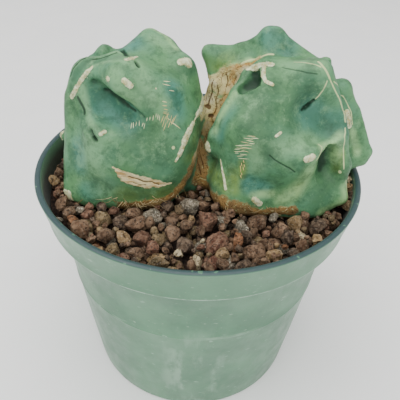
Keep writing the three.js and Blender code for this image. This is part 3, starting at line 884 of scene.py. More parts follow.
HOLLOWS: tuple[Form, ...] = (
    # the groove down the left rib
    *chain(0.9, ((-36.5, -9.4, 107), 0.7), ((-34.7, -11.4, 103), 1.25),
           ((-33.8, -14.2, 100.8), 1.3), ((-31.6, -17.4, 99.4), 0.8)),
    # the valley under the left fold, and the crease between them
    Bulge((-28.6, -13.8, 106.4), (-21.5, -17.6, 104.6), 4.6, 3.8, 4),
    *chain(0.9, ((-30.6, -8, 110.9), 0.7), ((-25.4, -12.4, 109.6), 1.5),
           ((-20.6, -14.8, 107), 1.4), ((-15.8, -16, 104.6), 0.4)),
    # the teardrop hollow near the right apex
    *chain(0.6, ((12, -6.4, 109.8), 1.8), ((14.4, -6, 112.2), 2.8), ((15, -4.4, 113.6), 1.9)),
    # the right crease and the valley beside it
    Bulge((31, -10.5, 109), (29, -11, 107), 0.7, 1.2, 1.2),
    Bulge((32.5, -12.5, 108), (37, -13, 104), 4.5, 5, 5),
    # the pocket right of the front tubercle
    Bulge((37.4, -13, 93), (38.5, -14, 88.5), 2.5, 3.2, 2.6),
)


@dataclass(frozen=True)
class Stroke:
    """A mark along a line on the skin; rise lifts the skin there, or sinks it."""

    kind: Mark
    width: float
    rise: float
    points: tuple[Point, ...]
    thinnest: float = 0.4

    def steps(self, step: float = 1.2) -> np.ndarray:
        """The line's points, with more between them so that no step is long."""
        points = [np.array(self.points[0], float)]
        for start, end in zip(self.points, self.points[1:]):
            run = np.array(end, float) - np.array(start, float)
            count = max(1, math.ceil(float(np.linalg.norm(run)) / step))
            points += [np.array(start, float) + run * n / count for n in range(1, count + 1)]
        return np.array(points)

    def distance(self, places: np.ndarray, line: np.ndarray) -> np.ndarray:
        """Distance from the line as it lies on the skin, and a far one for places well away from it."""
        reach = 3 * self.width
        close = np.all((places > line.min(0) - reach) & (places < line.max(0) + reach), axis=1)
        away = np.full(len(places), FAR)
        ends = line[1:] if len(line) > 1 else line
        for start, end in zip(line, ends):
            away[close] = np.minimum(away[close], along_segment(places[close], tuple(start), tuple(end))[0])
        return away

    def lift(self, away: np.ndarray) -> np.ndarray:
        """How far the skin moves at a distance from the line."""
        return self.rise * np.exp(-((away / self.width) ** 2))

    def cover(self, away: np.ndarray) -> np.ndarray:
        """The mark's attribute at a distance from the line, 0.5 along its edge."""
        return np.clip(0.5 + (self.width - away) / (2 * max(self.width, self.thinnest)), 0, 1)


def strokes(kind: Mark, *rows: Sequence[Union[float, Point]]) -> tuple[Stroke, ...]:
    """Strokes of one kind, from rows that hold a width, a rise and the points of the line."""
    return tuple(Stroke(kind, row[0], row[1], row[2:]) for row in rows)


AREOLES = strokes(
    Mark.WOOL,
    # on the left head
    (1.15, 0.55, (-6.2, -2.7, 115.7), (-4.6, -1.8, 115.4), (-4.2, -2.4, 114.9)),
    (0.6, 0.35, (-20.6, -10.9, 118.6), (-19.1, -8.9, 118.5)),
    (0.42, 0.2, (-19.1, -8.9, 118.5), (-18.4, -5.4, 117.8)),
    (0.62, 0.3, (-25.6, -14.1, 114.7), (-25.2, -14.2, 114.5)),
    (0.82, 0.45, (-20.6, -16.1, 115.1), (-19, -16.1, 113.8)),
    (0.4, 0.15, (-30.9, -6.9, 114.7), (-32.4, -7.6, 113.3)),
    (0.6, 0.25, (-32, -7.4, 113.7), (-34.1, -8.2, 111.2), (-35.5, -8.5, 109)),
    (0.72, 0.25, (-35.5, -8.5, 109), (-36.7, -8.6, 107.3), (-37.5, -8.5, 106.1)),
    (0.62, 0.35, (-27.6, -18.2, 100), (-26.5, -17.3, 100.6)),
    (1.15, 0.3, (-41, -14.3, 76.6), (-39.6, -16.2, 77.4), (-39.3, -16.3, 75.4)),
    (0.35, 0.12, (-0.6, -5, 101.2), (-1.6, -8, 100.7), (-2.2, -10.1, 100.2)),
    (0.75, 0.2, (-2.2, -10.1, 100.2), (-3, -12.1, 99.2)),
    (0.9, 0.2, (-1, -6.6, 101.2), (-0.6, -3.6, 101.4)),
    (1.4, 0.2, (-0.6, -3.6, 101.4), (-0.2, -0.6, 102.6), (-0.2, 0.6, 103.6)),
    (1, 0.2, (-3, -12.1, 99.2), (-3.8, -13.7, 98), (-4.4, -14.8, 96.6)),
    (0.7, 0.2, (-4.4, -14.8, 96.6), (-5, -15.7, 95), (-5.7, -16.6, 93.4)),
    (0.4, 0.12, (-5.7, -16.6, 93.4), (-6.7, -17.5, 91.6)),
    (0.28, 0, (-12.5, -13.9, 112.3)),
    # on the right head
    (0.95, 0.35, (30.2, -21, 96.1), (32, -20.2, 96.7)),
    (1.15, 0.15, (13.4, -1, 113.8), (15.4, -2, 114.8), (17.4, -3, 115.8), (19.2, -3.2, 116.2)),
    (0.6, 0.2, (17.4, -3.8, 115.8), (17.2, -5.4, 115.4), (17, -7.2, 114.4)),
    (0.5, 0.15, (17, -7.2, 114.4), (17.7, -8.5, 113.4), (19.6, -8.9, 112.7)),
    (0.95, 0.2, (44.2, -1.3, 101.6), (45.3, -1.4, 99.3)),
    (0.75, 0.2, (45.3, -1.4, 99.3), (46.1, -1.7, 97)),
    (1, 0.3, (2.3, -9, 92.9), (2.6, -9.8, 91.2)),
    (0.36, 0.15, (6.4, -13.7, 90.2), (7, -15.2, 88.1)),
    (0.48, 0.15, (7, -15.2, 88.1), (7.8, -17.3, 85.4), (8.3, -18.6, 83.2)),
    (0.95, 0.3, (17, -20.2, 81.1), (18.8, -20.2, 79.4)),
    (0.42, 0.2, (21.1, -18.1, 101.6), (22.4, -17.2, 102.3)),
    # on the back and the sides
    (0.9, 0.4, (-45, 3, 86), (-45, 3, 87.6)),
    (0.85, 0.4, (-36.5, 17, 100), (-36.5, 16.6, 101.6)),
    (0.85, 0.4, (-38.5, 19.5, 85), (-38.5, 19.5, 86.6)),
    (0.9, 0.4, (-24, 21, 102), (-24, 20.4, 103.8)),
    (0.9, 0.4, (-24, 23, 87), (-24, 23, 88.8)),
    (0.85, 0.4, (-10, 19, 98), (-10, 18.4, 99.6)),
    (0.85, 0.4, (-10, 20, 83), (-10, 20, 84.8)),
    (0.85, 0.4, (12, 21, 100), (12, 20.4, 101.8)),
    (0.9, 0.4, (12, 22, 85), (12, 22, 86.8)),
    (0.9, 0.4, (28, 22, 102), (28, 21.4, 103.8)),
    (0.9, 0.4, (28, 24, 86), (28, 24, 87.8)),
    (0.8, 0.4, (41, 15, 98), (41, 14.6, 99.8)),
    (0.85, 0.4, (44, 15.5, 84), (44, 15.5, 85.8)),
)

CORK_PATCHES = strokes(
    Mark.CORK,
    (1.9, 0.1, (-0.3, -3, 99.6), (-0.1, -0.6, 99.6)),
    (3.4, 0.1, (3.7, 6.2, 103.6), (5.5, 6.1, 105.4), (7.3, 6.1, 107.2), (9.6, 5.2, 109.2)),
    (3, 0.1, (2.6, 5, 102), (3.5, 2.5, 98.6), (3.3, 0.4, 96.2), (2.6, -0.8, 92.5)),
    (2.4, 0.1, (9.6, 2.9, 105.2), (7.6, 1.8, 100.8), (5.6, 0.9, 96.9)),
    (1.7, 0.1, (10.4, 4.8, 110), (12.4, 4.8, 111.4), (14.6, 4.4, 112.6), (17, 4.4, 113.8)),
    (2.6, 0.1, (0.2, -4.7, 90), (0.5, -7.7, 83), (0.6, -8, 78)),
    (2, 0.1, (-1.4, -7.5, 91.5), (-2.2, -12, 88.2), (-3.4, -14.7, 84), (-5.4, -16.1, 80.6)),
    (4, 0.1, (0, 8, 99), (0, 10, 88), (0, 11, 78)),
    (2.4, 0.15, (-4.6, -15.5, 80), (-9, -17, 77.4), (-13, -17.6, 76.4), (-18, -18.3, 75.6)),
    (2, 0.15, (-18, -18.3, 75.6), (-23, -18.6, 74.6)),
    (3.2, 0.2, (2.2, -7.5, 75), (4.5, -14, 76.6), (6.7, -17.5, 77.6), (9, -19, 77.8), (11.5, -19.8, 77.6)),
    (2.6, 0.2, (11.5, -19.8, 77.6), (14.2, -20, 76.6), (17.5, -19.6, 75.2)),
    (1.7, 0.2, (17.5, -19.6, 75.4), (20.7, -19.7, 75.4), (23.6, -19.7, 76), (26.5, -19.6, 76.6),
     (29.1, -19.4, 76.8)),
)

HEALED_SCAR = strokes(
    Mark.SCAR,
    (0.3, -0.05, (-24.6, -20.2, 90.3), (-23.6, -20.1, 89.6)),
    (0.8, -0.1, (-23.4, -20.1, 89.2), (-22.4, -20, 88.4)),
    (1.5, -0.1, (-22, -20, 87.7), (-20.8, -20, 87)),
    (2.05, -0.1, (-20.6, -20, 86.6), (-18.4, -19.9, 85.9)),
    (2, -0.1, (-18.4, -19.9, 85.8), (-14.8, -19.6, 85)),
    (1.4, -0.1, (-14.8, -19.6, 85.2), (-11.6, -19.4, 84.6)),
    (0.75, -0.1, (-11.8, -19.4, 84.6), (-10, -18.9, 84.3)),
    (0.35, -0.05, (-10, -18.9, 84.3), (-8, -18.3, 84.3)),
)

CRACKS = strokes(
    Mark.CRACK,
    # in the scar
    (0.2, -0.45, (-20.2, -20, 87), (-17.8, -19.9, 86.3), (-16.1, -19.8, 85.4), (-13.5, -19.6, 85.2),
     (-11.6, -19.4, 84.2)),
    (0.12, -0.2, (-19, -20, 84.8), (-17, -19.8, 84.2), (-15.4, -19.7, 84.3)),
    # knots and splits in the cork
    (0.75, -0.5, (1.8, 1.9, 100.2), (2.4, 1.7, 99.8)),
    (0.6, -0.4, (2.8, 0.2, 97.6), (3.6, 0.6, 97.4)),
    (0.2, -0.25, (3.4, 5, 107.5), (3, 4.2, 105.6), (3.2, 3.4, 104), (2.4, 3, 101.7), (2, 1.9, 100.2)),
    (0.16, -0.2, (7.2, 6.8, 108.9), (7.9, 5.6, 106.6), (7.4, 4.8, 105.4)),
    (0.15, -0.2, (4.6, 4.6, 106), (5.2, 4, 104), (4.4, 3, 101.6), (4.9, 2.1, 99.7), (4.2, 1.2, 98)),
    (0.14, -0.15, (2.4, 5.4, 105.4), (1.8, 4.6, 103), (1.4, 3.4, 101)),
    (0.22, -0.3, (0.6, -5.6, 90), (0.4, -8, 86), (0.9, -8.6, 81)),
    (0.18, -0.3, (1.4, -3, 93), (1.2, -6, 88), (1.6, -7.6, 83)),
)

PALE_EDGES = strokes(
    Mark.PALE,
    # two small dots
    (0.5, 0.05, (-7.5, -16.8, 95.7)),
    (0.5, 0.05, (42.7, -13.3, 87.6)),
    # worn crests
    (0.3, 0.08, (32.1, -4.6, 118.1), (33.4, -5.9, 117.2), (34.8, -6.5, 115.7), (35.6, -6.7, 114.4)),
    (0.2, 0.08, (35.6, -6.7, 114.4), (37.1, -6.9, 111.9), (38.5, -7, 109.8), (40.1, -7, 107.5),
     (41.4, -7.4, 104.6), (42, -8.2, 101.8)),
    (0.17, 0.08, (42.3, -9.4, 100.4), (42.4, -10.4, 99.7), (42.1, -11.5, 98.7), (42.4, -11.9, 96.4),
     (43, -12.5, 92.5), (43.6, -13.5, 88.8)),
    (0.15, 0.05, (37.1, -6.3, 113.3), (42.8, -0.6, 105.9), (45.8, -0.9, 101.5), (47, -1.3, 97.5)),
    (0.17, 0.05, (35, -7.2, 113.8), (34.3, -7.2, 111.1), (33.4, -7.3, 109.2), (32.7, -7.4, 108.3)),
    (0.26, 0.08, (2, 10.1, 105.9), (3.4, 8, 107.6), (5.3, 7.4, 108.6), (7.2, 6.6, 109.4),
     (10.1, 5.7, 111.4)),
    (0.36, 0.08, (10.1, 5.7, 111.4), (12.2, 5.9, 112.9), (14.4, 6, 114), (16.8, 5, 115),
     (20.4, 4.3, 115.6)),
    (0.22, 0, (45.6, -12.4, 84), (46.7, -13, 80.8), (46.9, -14.1, 77.7), (44, -15.5, 76.3)),
    (0.16, 0.05, (25.8, -2.4, 117.2), (27.9, -3.6, 117.3), (31, -5.6, 117.7), (32.7, -6.2, 117.3)),
    (0.2, 0.1, (34, -15, 97.8), (34.9, -16.4, 97.4), (34.6, -17.6, 96.4), (33.4, -19, 95)),
)

# pale bloom and painted highlight on tops, crests and ridge lines
BLOOM_AND_HIGHLIGHTS = strokes(
    Mark.BLOOM,
    (0.6, 0.1, (34.5, -16.5, 97.5), (36.8, -14.4, 97.2), (38.8, -12.9, 97.3), (41, -11.3, 98.7)),
    (0.5, 0.2, (-36.6, -5.2, 113), (-34.8, -4.4, 114.9), (-33.1, -2.4, 115.7)),
    (0.5, 0.2, (-31.4, -5.8, 115.3), (-30.1, -2.9, 116), (-25.2, -0.2, 117), (-22.6, -2.8, 117.3)),
    (0.6, 0.2, (-30.5, -6.7, 114.9), (-28.1, -6.5, 115.9), (-23.8, -10.4, 118), (-20.2, -12, 118.4)),
    (1, 0.1, (-34, -8.4, 110), (-33.1, -9.8, 105.4), (-32.6, -11.8, 102.6), (-30.7, -15.4, 101.4),
     (-28.8, -17, 100.6)),
    (2.8, 0, (-18.4, -11, 118), (-16.6, -12.6, 115), (-14, -13.6, 110)),
    (2, 0, (-23.6, -14, 116.6), (-21.8, -15.8, 112), (-18.6, -16.6, 109)),
    (2.2, 0, (-14, 4, 120), (-11, 4, 118.6), (-8, 3, 115.6)),
    (2.2, 0, (-11, -14, 108), (-10.6, -15.6, 104)),
    (4, 0, (-31, -18, 96), (-31, -19, 88), (-28, -20, 82)),
    (2.2, 0, (8.8, -8.7, 107.6), (7.2, -8.8, 105.2), (5.6, -9.7, 102), (4.3, -9.8, 98.4)),
    (2.2, 0, (23, -3, 116.6), (28, -4, 117), (33, -5, 116.6)),
    (2.4, 0, (22, -19.6, 98.6), (27, -18.6, 99.6), (33, -14.6, 99.6)),
    (2, 0, (14.8, -19.6, 99), (16.4, -20, 95), (16.6, -20.4, 92)),
)

# painted shadow in the creases, pits, slits and hollows
CREASE_SHADOWS = strokes(
    Mark.DARK,
    (0.55, -0.8, (-23.4, 0.2, 117.2), (-22.1, -2.7, 117.4), (-20.8, -6.4, 118.3)),
    (0.62, -1.2, (-17.9, -10, 118), (-17.4, -11, 117.4)),
    (0.62, -1.3, (-31.1, -17.2, 99.9), (-30.2, -18, 98.9), (-29.4, -18.3, 97.8)),
    (0.7, -0.4, (-27.3, -8.2, 108.5), (-26.2, -9, 108.4)),
    (1.4, -0.5, (-26, -9.2, 108.4), (-24, -10.7, 107.9), (-22.4, -11.9, 107.2)),
    (0.75, -0.4, (-22.2, -12, 107.1), (-20.7, -12.9, 106.3)),
    (0.4, -0.2, (-20.7, -12.9, 106.3), (-18.4, -14.2, 105.5)),
    (0.45, 0, (-35.5, -9.4, 106.4), (-34.5, -10.3, 104.6), (-34.1, -11.2, 102.6)),
    (0.28, -0.35, (-31, -4.4, 115.8), (-28, -3, 116.4), (-24.9, -1.2, 117)),
    (0.25, -0.3, (-37.6, -5.4, 111), (-35.4, -4.8, 114.2), (-33.5, -3.2, 115.4)),
    (0.16, -0.22, (19.8, -19.7, 96.3), (21.3, -20.1, 95.1), (23.5, -20.5, 94), (25.9, -20.5, 92.7),
     (27.5, -20.4, 91.5)),
    (0.12, -0.12, (22.3, -4.6, 116.2), (25.6, -6.3, 116.3), (28.9, -7.6, 116.1), (31.7, -7.7, 115.9)),
    (0.42, -0.5, (32.2, -7.6, 107.9), (30.7, -8.2, 106.6)),
    (0.62, -0.7, (30.9, -8.2, 106.7), (29.9, -8.6, 106)),
    (0.35, -0.4, (29.9, -8.6, 106), (28.9, -8.8, 105.4)),
    (0.9, 0, (12.8, -4.5, 109.8), (13.4, -4.6, 109.5), (14.4, -4.4, 109.8)),
    (1.5, 0, (14.4, -4, 110.2), (15.4, -4, 110.8), (15.8, -3.4, 112)),
    (1, 0, (15.8, -3.4, 112), (15, -2.8, 113)),
    (1.4, 0, (36.6, -10.8, 93.4), (36.5, -10.7, 91.2), (37.3, -10.6, 89)),
    (0.8, 0, (37.3, -10.6, 89), (37, -11.2, 86.9)),
)

# painted shade: darker green beside creases, in valleys and pockets and on faces turned from the light
SHADES = strokes(
    Mark.SHADE,
    # beside the creases
    (1.5, 0, (-35.9, -9.2, 106.8), (-34.7, -10, 105.3), (-34.1, -11.1, 102.8), (-33.7, -13.4, 100.4),
     (-31.7, -16.7, 100)),
    (1.2, 0, (-36.5, -6.9, 111.1), (-33.8, -6.1, 114.6), (-31.5, -4.9, 115.6)),
    (1.4, 0, (-31.6, -17.6, 100), (-30, -18.4, 97.6)),
    (0.8, -0.25, (-37.6, -7.2, 109), (-37.4, -9, 105), (-37, -10.4, 102.6)),
    (1.9, -0.35, (-6.6, -4.6, 114), (-4.6, -4, 113.4), (-3.4, -2.6, 113.2)),
    (2.6, 0, (12.2, -4.6, 109.6), (14.4, -4, 110.8)),
    # in the valleys
    (2.2, -0.4, (-17, -15.4, 113.4), (-15.6, -15.8, 111.4), (-14.4, -16.4, 109)),
    (3.2, 0, (-29.6, -8, 108), (-25, -9.6, 107), (-20.4, -12.8, 105)),
    (5, 0, (-17, -19, 98), (-12, -18.6, 95)),
    (2.8, 0, (-0.4, -7.5, 98.2), (-1.4, -11.6, 95.6), (-2.8, -14.2, 92.4), (-4.6, -16.4, 88.6),
     (-6.6, -17.8, 86)),
    (5.5, 0, (18, -11, 110), (16, -15, 104), (18, -18, 98)),
    (4, 0, (27, -10, 110), (25, -14, 104)),
    (3, 0, (31, -9, 105), (36, -9, 101), (40, -9, 100)),
    (3.2, 0, (36.4, -11, 94), (37.6, -10.4, 90), (37.2, -12.4, 86)),
    (3.4, 0, (40, -14, 84), (37, -17, 80)),
    (1.6, 0, (3.4, -9, 89), (5.4, -12.6, 88)),
    (2.6, 0, (-22, -19.4, 80.6), (-10, -18.4, 80.6), (-3, -14, 84)),
    (2.6, 0, (28, -6.4, 113), (30, -7.6, 109)),
)

BLUE_DRIFTS = strokes(
    Mark.BLUE,
    (4, 0, (-29.3, -8, 105), (-25, -10, 103.6), (-20, -13, 103)),
    (2.4, 0, (-36.4, -15, 93), (-35.6, -17, 87)),
    (3, 0, (-27, -19.6, 84), (-33, -18.4, 80)),
    (4.5, 0, (31, -9, 104), (36, -9, 102), (40, -9, 101)),
    (3, 0, (19, 8, 119.6), (25, 7.4, 117.4)),
    (2.6, 0, (15, -20, 86), (19, -20.6, 84)),
    (3, 0, (-21, 2, 118), (-22, 5, 115.6)),
    (3, 0, (-8.6, -10, 109), (-8, -12, 105)),
    (3, 0, (9, -10, 104), (6, -11, 99)),
)

YELLOW_DRIFTS = strokes(
    Mark.YELLOW,
    (2.2, 0, (-0.4, -7.5, 98), (-1.4, -11.6, 95), (-2.8, -14.2, 91.6)),
    (2.6, 0, (-22, -19.4, 80), (-14, -19, 80), (-8.6, -18, 81)),
    (2, 0, (10.4, -17.6, 89), (10.6, -19, 84)),
    (1.4, 0, (12.6, -18.9, 92.4), (12.4, -18.9, 88.6)),
    (2.4, 0, (3.4, 11.6, 110.6), (8, 9, 111.8)),
    (1.3, 0, (30.4, -18.6, 85.4), (29.2, -18.8, 83.4)),
    (3, 0, (5, -10, 84), (8.3, -17.4, 84)),
    (1.5, 0, (42, -11, 93), (42, -12, 88)),
    (1.1, 0, (10.1, 5.8, 110.6), (8.9, 5.2, 106.8), (6.9, 2.8, 101.6), (4.1, 0.7, 96.1)),
    (0.9, 0, (10.4, 6, 112), (15, 5, 114.4)),
)

# pale faded skin and painted highlight on the flanks, edges and crests
FADED_AND_HIGHLIGHT_DRIFTS = strokes(
    Mark.FADED,
    (1.2, 0, (47, -1, 95), (49.6, -1, 90), (50.6, -1, 86)),
    (2.3, 0, (32.7, -19.1, 93), (32, -18.7, 89.4), (30.6, -18.4, 86.1), (28.6, -18.8, 83.1),
     (26, -19.3, 80.5)),
    (1.5, 0, (40.4, -12, 96.4), (40.4, -11.2, 94.4), (41, -11.9, 90.7)),
    (1.3, 0, (34.8, -16.4, 97.3), (38.4, -13.2, 97.4), (41, -11, 98.9)),
    (1.5, 0, (45.4, -13, 82), (46, -14, 78.6), (43, -15.6, 76.6), (38, -17.4, 75.6)),
    (1, 0, (9.4, -7.2, 108.4), (7.2, -8.5, 105.1), (5.6, -9.4, 101.8), (4.6, -9.8, 98)),
    (1.3, 0, (22, -20, 83), (17, -20.6, 82.4)),
    (0.8, 0, (-16.8, 8.4, 120), (-12, 7, 118.4), (-8, 3, 117)),
    (0.9, 0, (6, 8.6, 108.6), (10, 7.2, 111.4), (14, 6.4, 113.4)),
)

STROKES = (
    AREOLES + CORK_PATCHES + HEALED_SCAR + CRACKS + PALE_EDGES + BLOOM_AND_HIGHLIGHTS
    + CREASE_SHADOWS + SHADES + BLUE_DRIFTS + YELLOW_DRIFTS + FADED_AND_HIGHLIGHT_DRIFTS
)

FINE_MARKS = (Mark.WOOL, Mark.SCAR, Mark.CRACK, Mark.PALE, Mark.DARK)


@dataclass(frozen=True)
class Scratch:
    """Healed scratches of one kind: what they run square to, how long they are and where each is."""

    kind: ScratchKind
    square_to: Point
    length: float
    places: tuple[Point, ...]


SCRATCHES: tuple[Scratch, ...] = (
    Scratch(ScratchKind.WHITE, (1, 0, -0.15), 1.9, (
        (-19.6, -14.5, 100.9), (-19, -14.6, 101.2), (-18.2, -14.8, 101.7), (-17.2, -15.2, 102.2),
        (-16.2, -15.9, 102.2), (-15.7, -16.1, 101.9), (-14.9, -16.6, 104.2), (-14, -16.6, 104.5),
        (-13.1, -16.5, 104.6), (-12.3, -16.3, 105.4), (-11.8, -16.1, 104.9), (-11.4, -15.8, 104.4),
    )),
    Scratch(ScratchKind.TAN, (1, 0, -0.3), 2.2, (
        (-10.6, -15.5, 103.9), (-10.3, -15.4, 102.7), (-9.9, -15.4, 101.7), (-9.3, -14.7, 104.5),
        (-9.1, -14.8, 103.2), (-8.7, -14.9, 102.1), (-8.3, -14.3, 103.7), (-7.9, -14.3, 102.8),
        (-7.4, -13.9, 103.2), (-9.8, -15.1, 104.1),
    )),
    Scratch(ScratchKind.YELLOW, (0.6, 0.4, 0.7), 1.8, (
        (-8.8, -14.6, 103.5), (-7.9, -14.4, 102.3), (-7, -14.2, 101.6), (-6.3, -14.1, 101),
    )),
    Scratch(ScratchKind.YELLOW, (-0.06, 0.6, 0.8), 2.4, (
        (-9.8, -10.5, 113), (-9.8, -11.4, 112.4), (-8.4, -11.6, 110.8), (-10.1, -14.5, 108.8),
    )),
    Scratch(ScratchKind.TAN, (-0.06, 0.6, 0.8), 2, (
        (-10, -14.7, 107.7), (-9.7, -14.8, 106.6), (-9.8, -15, 105.9), (-9.6, -15, 105.3),
    )),
    Scratch(ScratchKind.YELLOW, (0.1, 0.58, 0.78), 3, (
        (14.2, -18.6, 101.6), (13.4, -18.9, 100.9), (14, -18.9, 100.3), (12.6, -18.7, 99.6), (13.6, -19, 99),
        (12.2, -18.7, 98.6), (13.2, -18.9, 98), (11.7, -18.5, 97.5), (12.9, -18.9, 96.9),
        (11.2, -18.4, 96.3), (12.6, -18.8, 95.7), (11.8, -18.6, 95), (12.6, -18.7, 94.3),
    )),
    Scratch(ScratchKind.WHITE, (0.1, 0.58, 0.78), 1.8, (
        (15.2, -18.9, 101.2), (11, -18.2, 98.1), (10.7, -18.2, 96.9), (10.6, -18.2, 95.6),
        (14.6, -19.2, 99.6),
    )),
    Scratch(ScratchKind.TAN, (0.8, 0.3, 0.2), 1.3, (
        (12.8, -18.8, 93.4), (12.3, -18.8, 92.2), (12.9, -18.9, 91), (12.2, -18.8, 90.2), (12.6, -18.9, 89),
        (12, -18.8, 91.2), (13.1, -18.9, 92), (12.4, -18.9, 88.2),
    )),
)

# where the fibres gather at the foot, and how many there are
ROOT_CLUMPS: tuple[tuple[Point, int], ...] = (
    ((-23, -19.5, 78), 15), ((-18.5, -19.5, 77.5), 15), ((-12, -18.5, 78.5), 9), ((-38, -15, 75.5), 5),
    ((12, -20.5, 78.5), 7), ((22, -20.5, 77.5), 7), ((-6, -16.5, 79), 6), ((20, 20, 76), 6),
    ((-20, 20, 76), 6),
)

TETRAHEDRON = np.array(((1, 1, 1), (1, -1, -1), (-1, 1, -1), (-1, -1, 1)), float)


def surface_net(
    distance: Callable[[np.ndarray], np.ndarray], low: Point, high: Point, cell: float
) -> tuple[np.ndarray, np.ndarray]:
    """Nets the surface where a distance is zero.

    Args:
        distance: gives the distance at points.
        low: lowest corner of the box that is looked at.
        high: its highest corner.
        cell: side of a cell, in millimetres.

    Returns:
        Points, and four-sided faces that point outwards.
    """
    corner = np.array(low, float)
    step = 4
    blocks = np.ceil((np.array(high, float) - corner) / (cell * step)).astype(int)
    coarse_axes = [corner[a] + np.arange(blocks[a] + 1) * cell * step for a in range(3)]
    lattice = np.stack(np.meshgrid(*coarse_axes, indexing="ij"), -1).reshape(-1, 3)
    values = distance(lattice).reshape(blocks + 1)
    for a in range(3):
        fine = np.arange(blocks[a] * step + 1) / step
        base = np.minimum(fine.astype(int), blocks[a] - 1)
        share = (fine - base).reshape([-1 if b == a else 1 for b in range(3)])
        values = np.take(values, base, a) * (1 - share) + np.take(values, base + 1, a) * share
    near = np.argwhere(np.abs(values) < 1.1 * cell * step)
    values[tuple(near.T)] = distance(corner + near * cell)
    inside = values < 0
    corners = [(n & 1, (n >> 1) & 1, (n >> 2) & 1) for n in range(8)]
    shape = np.array(values.shape) - 1
    count = np.zeros(shape, np.int8)
    for i, j, k in corners:
        count += inside[i:i + shape[0], j:j + shape[1], k:k + shape[2]]
    cells = np.argwhere((count > 0) & (count < 8))
    number = np.full(shape, -1)
    number[tuple(cells.T)] = np.arange(len(cells))
    at = [values[tuple((cells + c).T)] for c in corners]
    total = np.zeros((len(cells), 3))
    crossings = np.zeros(len(cells))
    for n in range(8):
        for a in range(3):
            m = n | (1 << a)
            if m == n:
                continue
            crossed = (at[n] < 0) != (at[m] < 0)
            share = np.where(crossed, at[n] / np.where(crossed, at[n] - at[m], 1), 0)
            spot = np.array(corners[n], float) + share[:, None] * (np.arange(3) == a)
            total += crossed[:, None] * spot
            crossings += crossed
    points = corner + (cells + total / crossings[:, None]) * cell
    faces = []
    for a in range(3):
        u = np.eye(3, dtype=int)[(a + 1) % 3]
        v = np.eye(3, dtype=int)[(a + 2) % 3]
        span = [slice(0, n - 1) if b == a else slice(1, n - 1) for b, n in enumerate(values.shape)]
        ahead = [slice(1, n) if b == a else slice(1, n - 1) for b, n in enumerate(values.shape)]
        start = inside[tuple(span)]
        base = np.argwhere(start != inside[tuple(ahead)]) + 1 - np.eye(3, dtype=int)[a]
        ring = np.stack([number[tuple((base - back).T)] for back in (0 * u, u, u + v, v)], -1)
        outward = inside[tuple(base.T)]
        faces.append(np.where(outward[:, None], ring, ring[:, ::-1]))
    return points, np.concatenate(faces)


def tubes(
    paths: Sequence[np.ndarray], radii: Sequence[float], sides: int = 3
) -> tuple[np.ndarray, list[list[int]]]:
    """Makes thin tapering strands.

    Args:
        paths: for each strand its points, from root to tip.
        radii: for each strand its radius at the root.
        sides: sides of a strand.

    Returns:
        Points and faces of them all.
    """
    points: list[np.ndarray] = []
    faces: list[list[int]] = []
    total = 0
    for path, radius in zip(paths, radii):
        run = np.gradient(path, axis=0)
        run /= np.linalg.norm(run, axis=1)[:, None]
        across = np.cross(run, [0.31, 0.52, 0.79])
        across /= np.linalg.norm(across, axis=1)[:, None]
        up = np.cross(run, across)
        for n, place in enumerate(path):
            thick = radius * (1 - 0.75 * n / (len(path) - 1))
            for side in range(sides):
                turn = 2 * math.pi * side / sides
                points.append(place + thick * (math.cos(turn) * across[n] + math.sin(turn) * up[n]))
        for n in range(len(path) - 1):
            for side in range(sides):
                a = total + n * sides + side
                b = total + n * sides + (side + 1) % sides
                faces.append([a, b, b + sides, a + sides])
        faces.append([total + side for side in reversed(range(sides))])
        faces.append([total + (len(path) - 1) * sides + side for side in range(sides)])
        total += len(path) * sides
    return np.array(points), faces


def footing(tree: BVHTree, place: np.ndarray) -> tuple[np.ndarray, np.ndarray]:
    """The skin's point nearest to a place, in millimetres, and its normal."""
    spot, normal, _, _ = tree.find_nearest(Vector(place) * MM)
    return np.array(spot) / MM, np.array(normal)


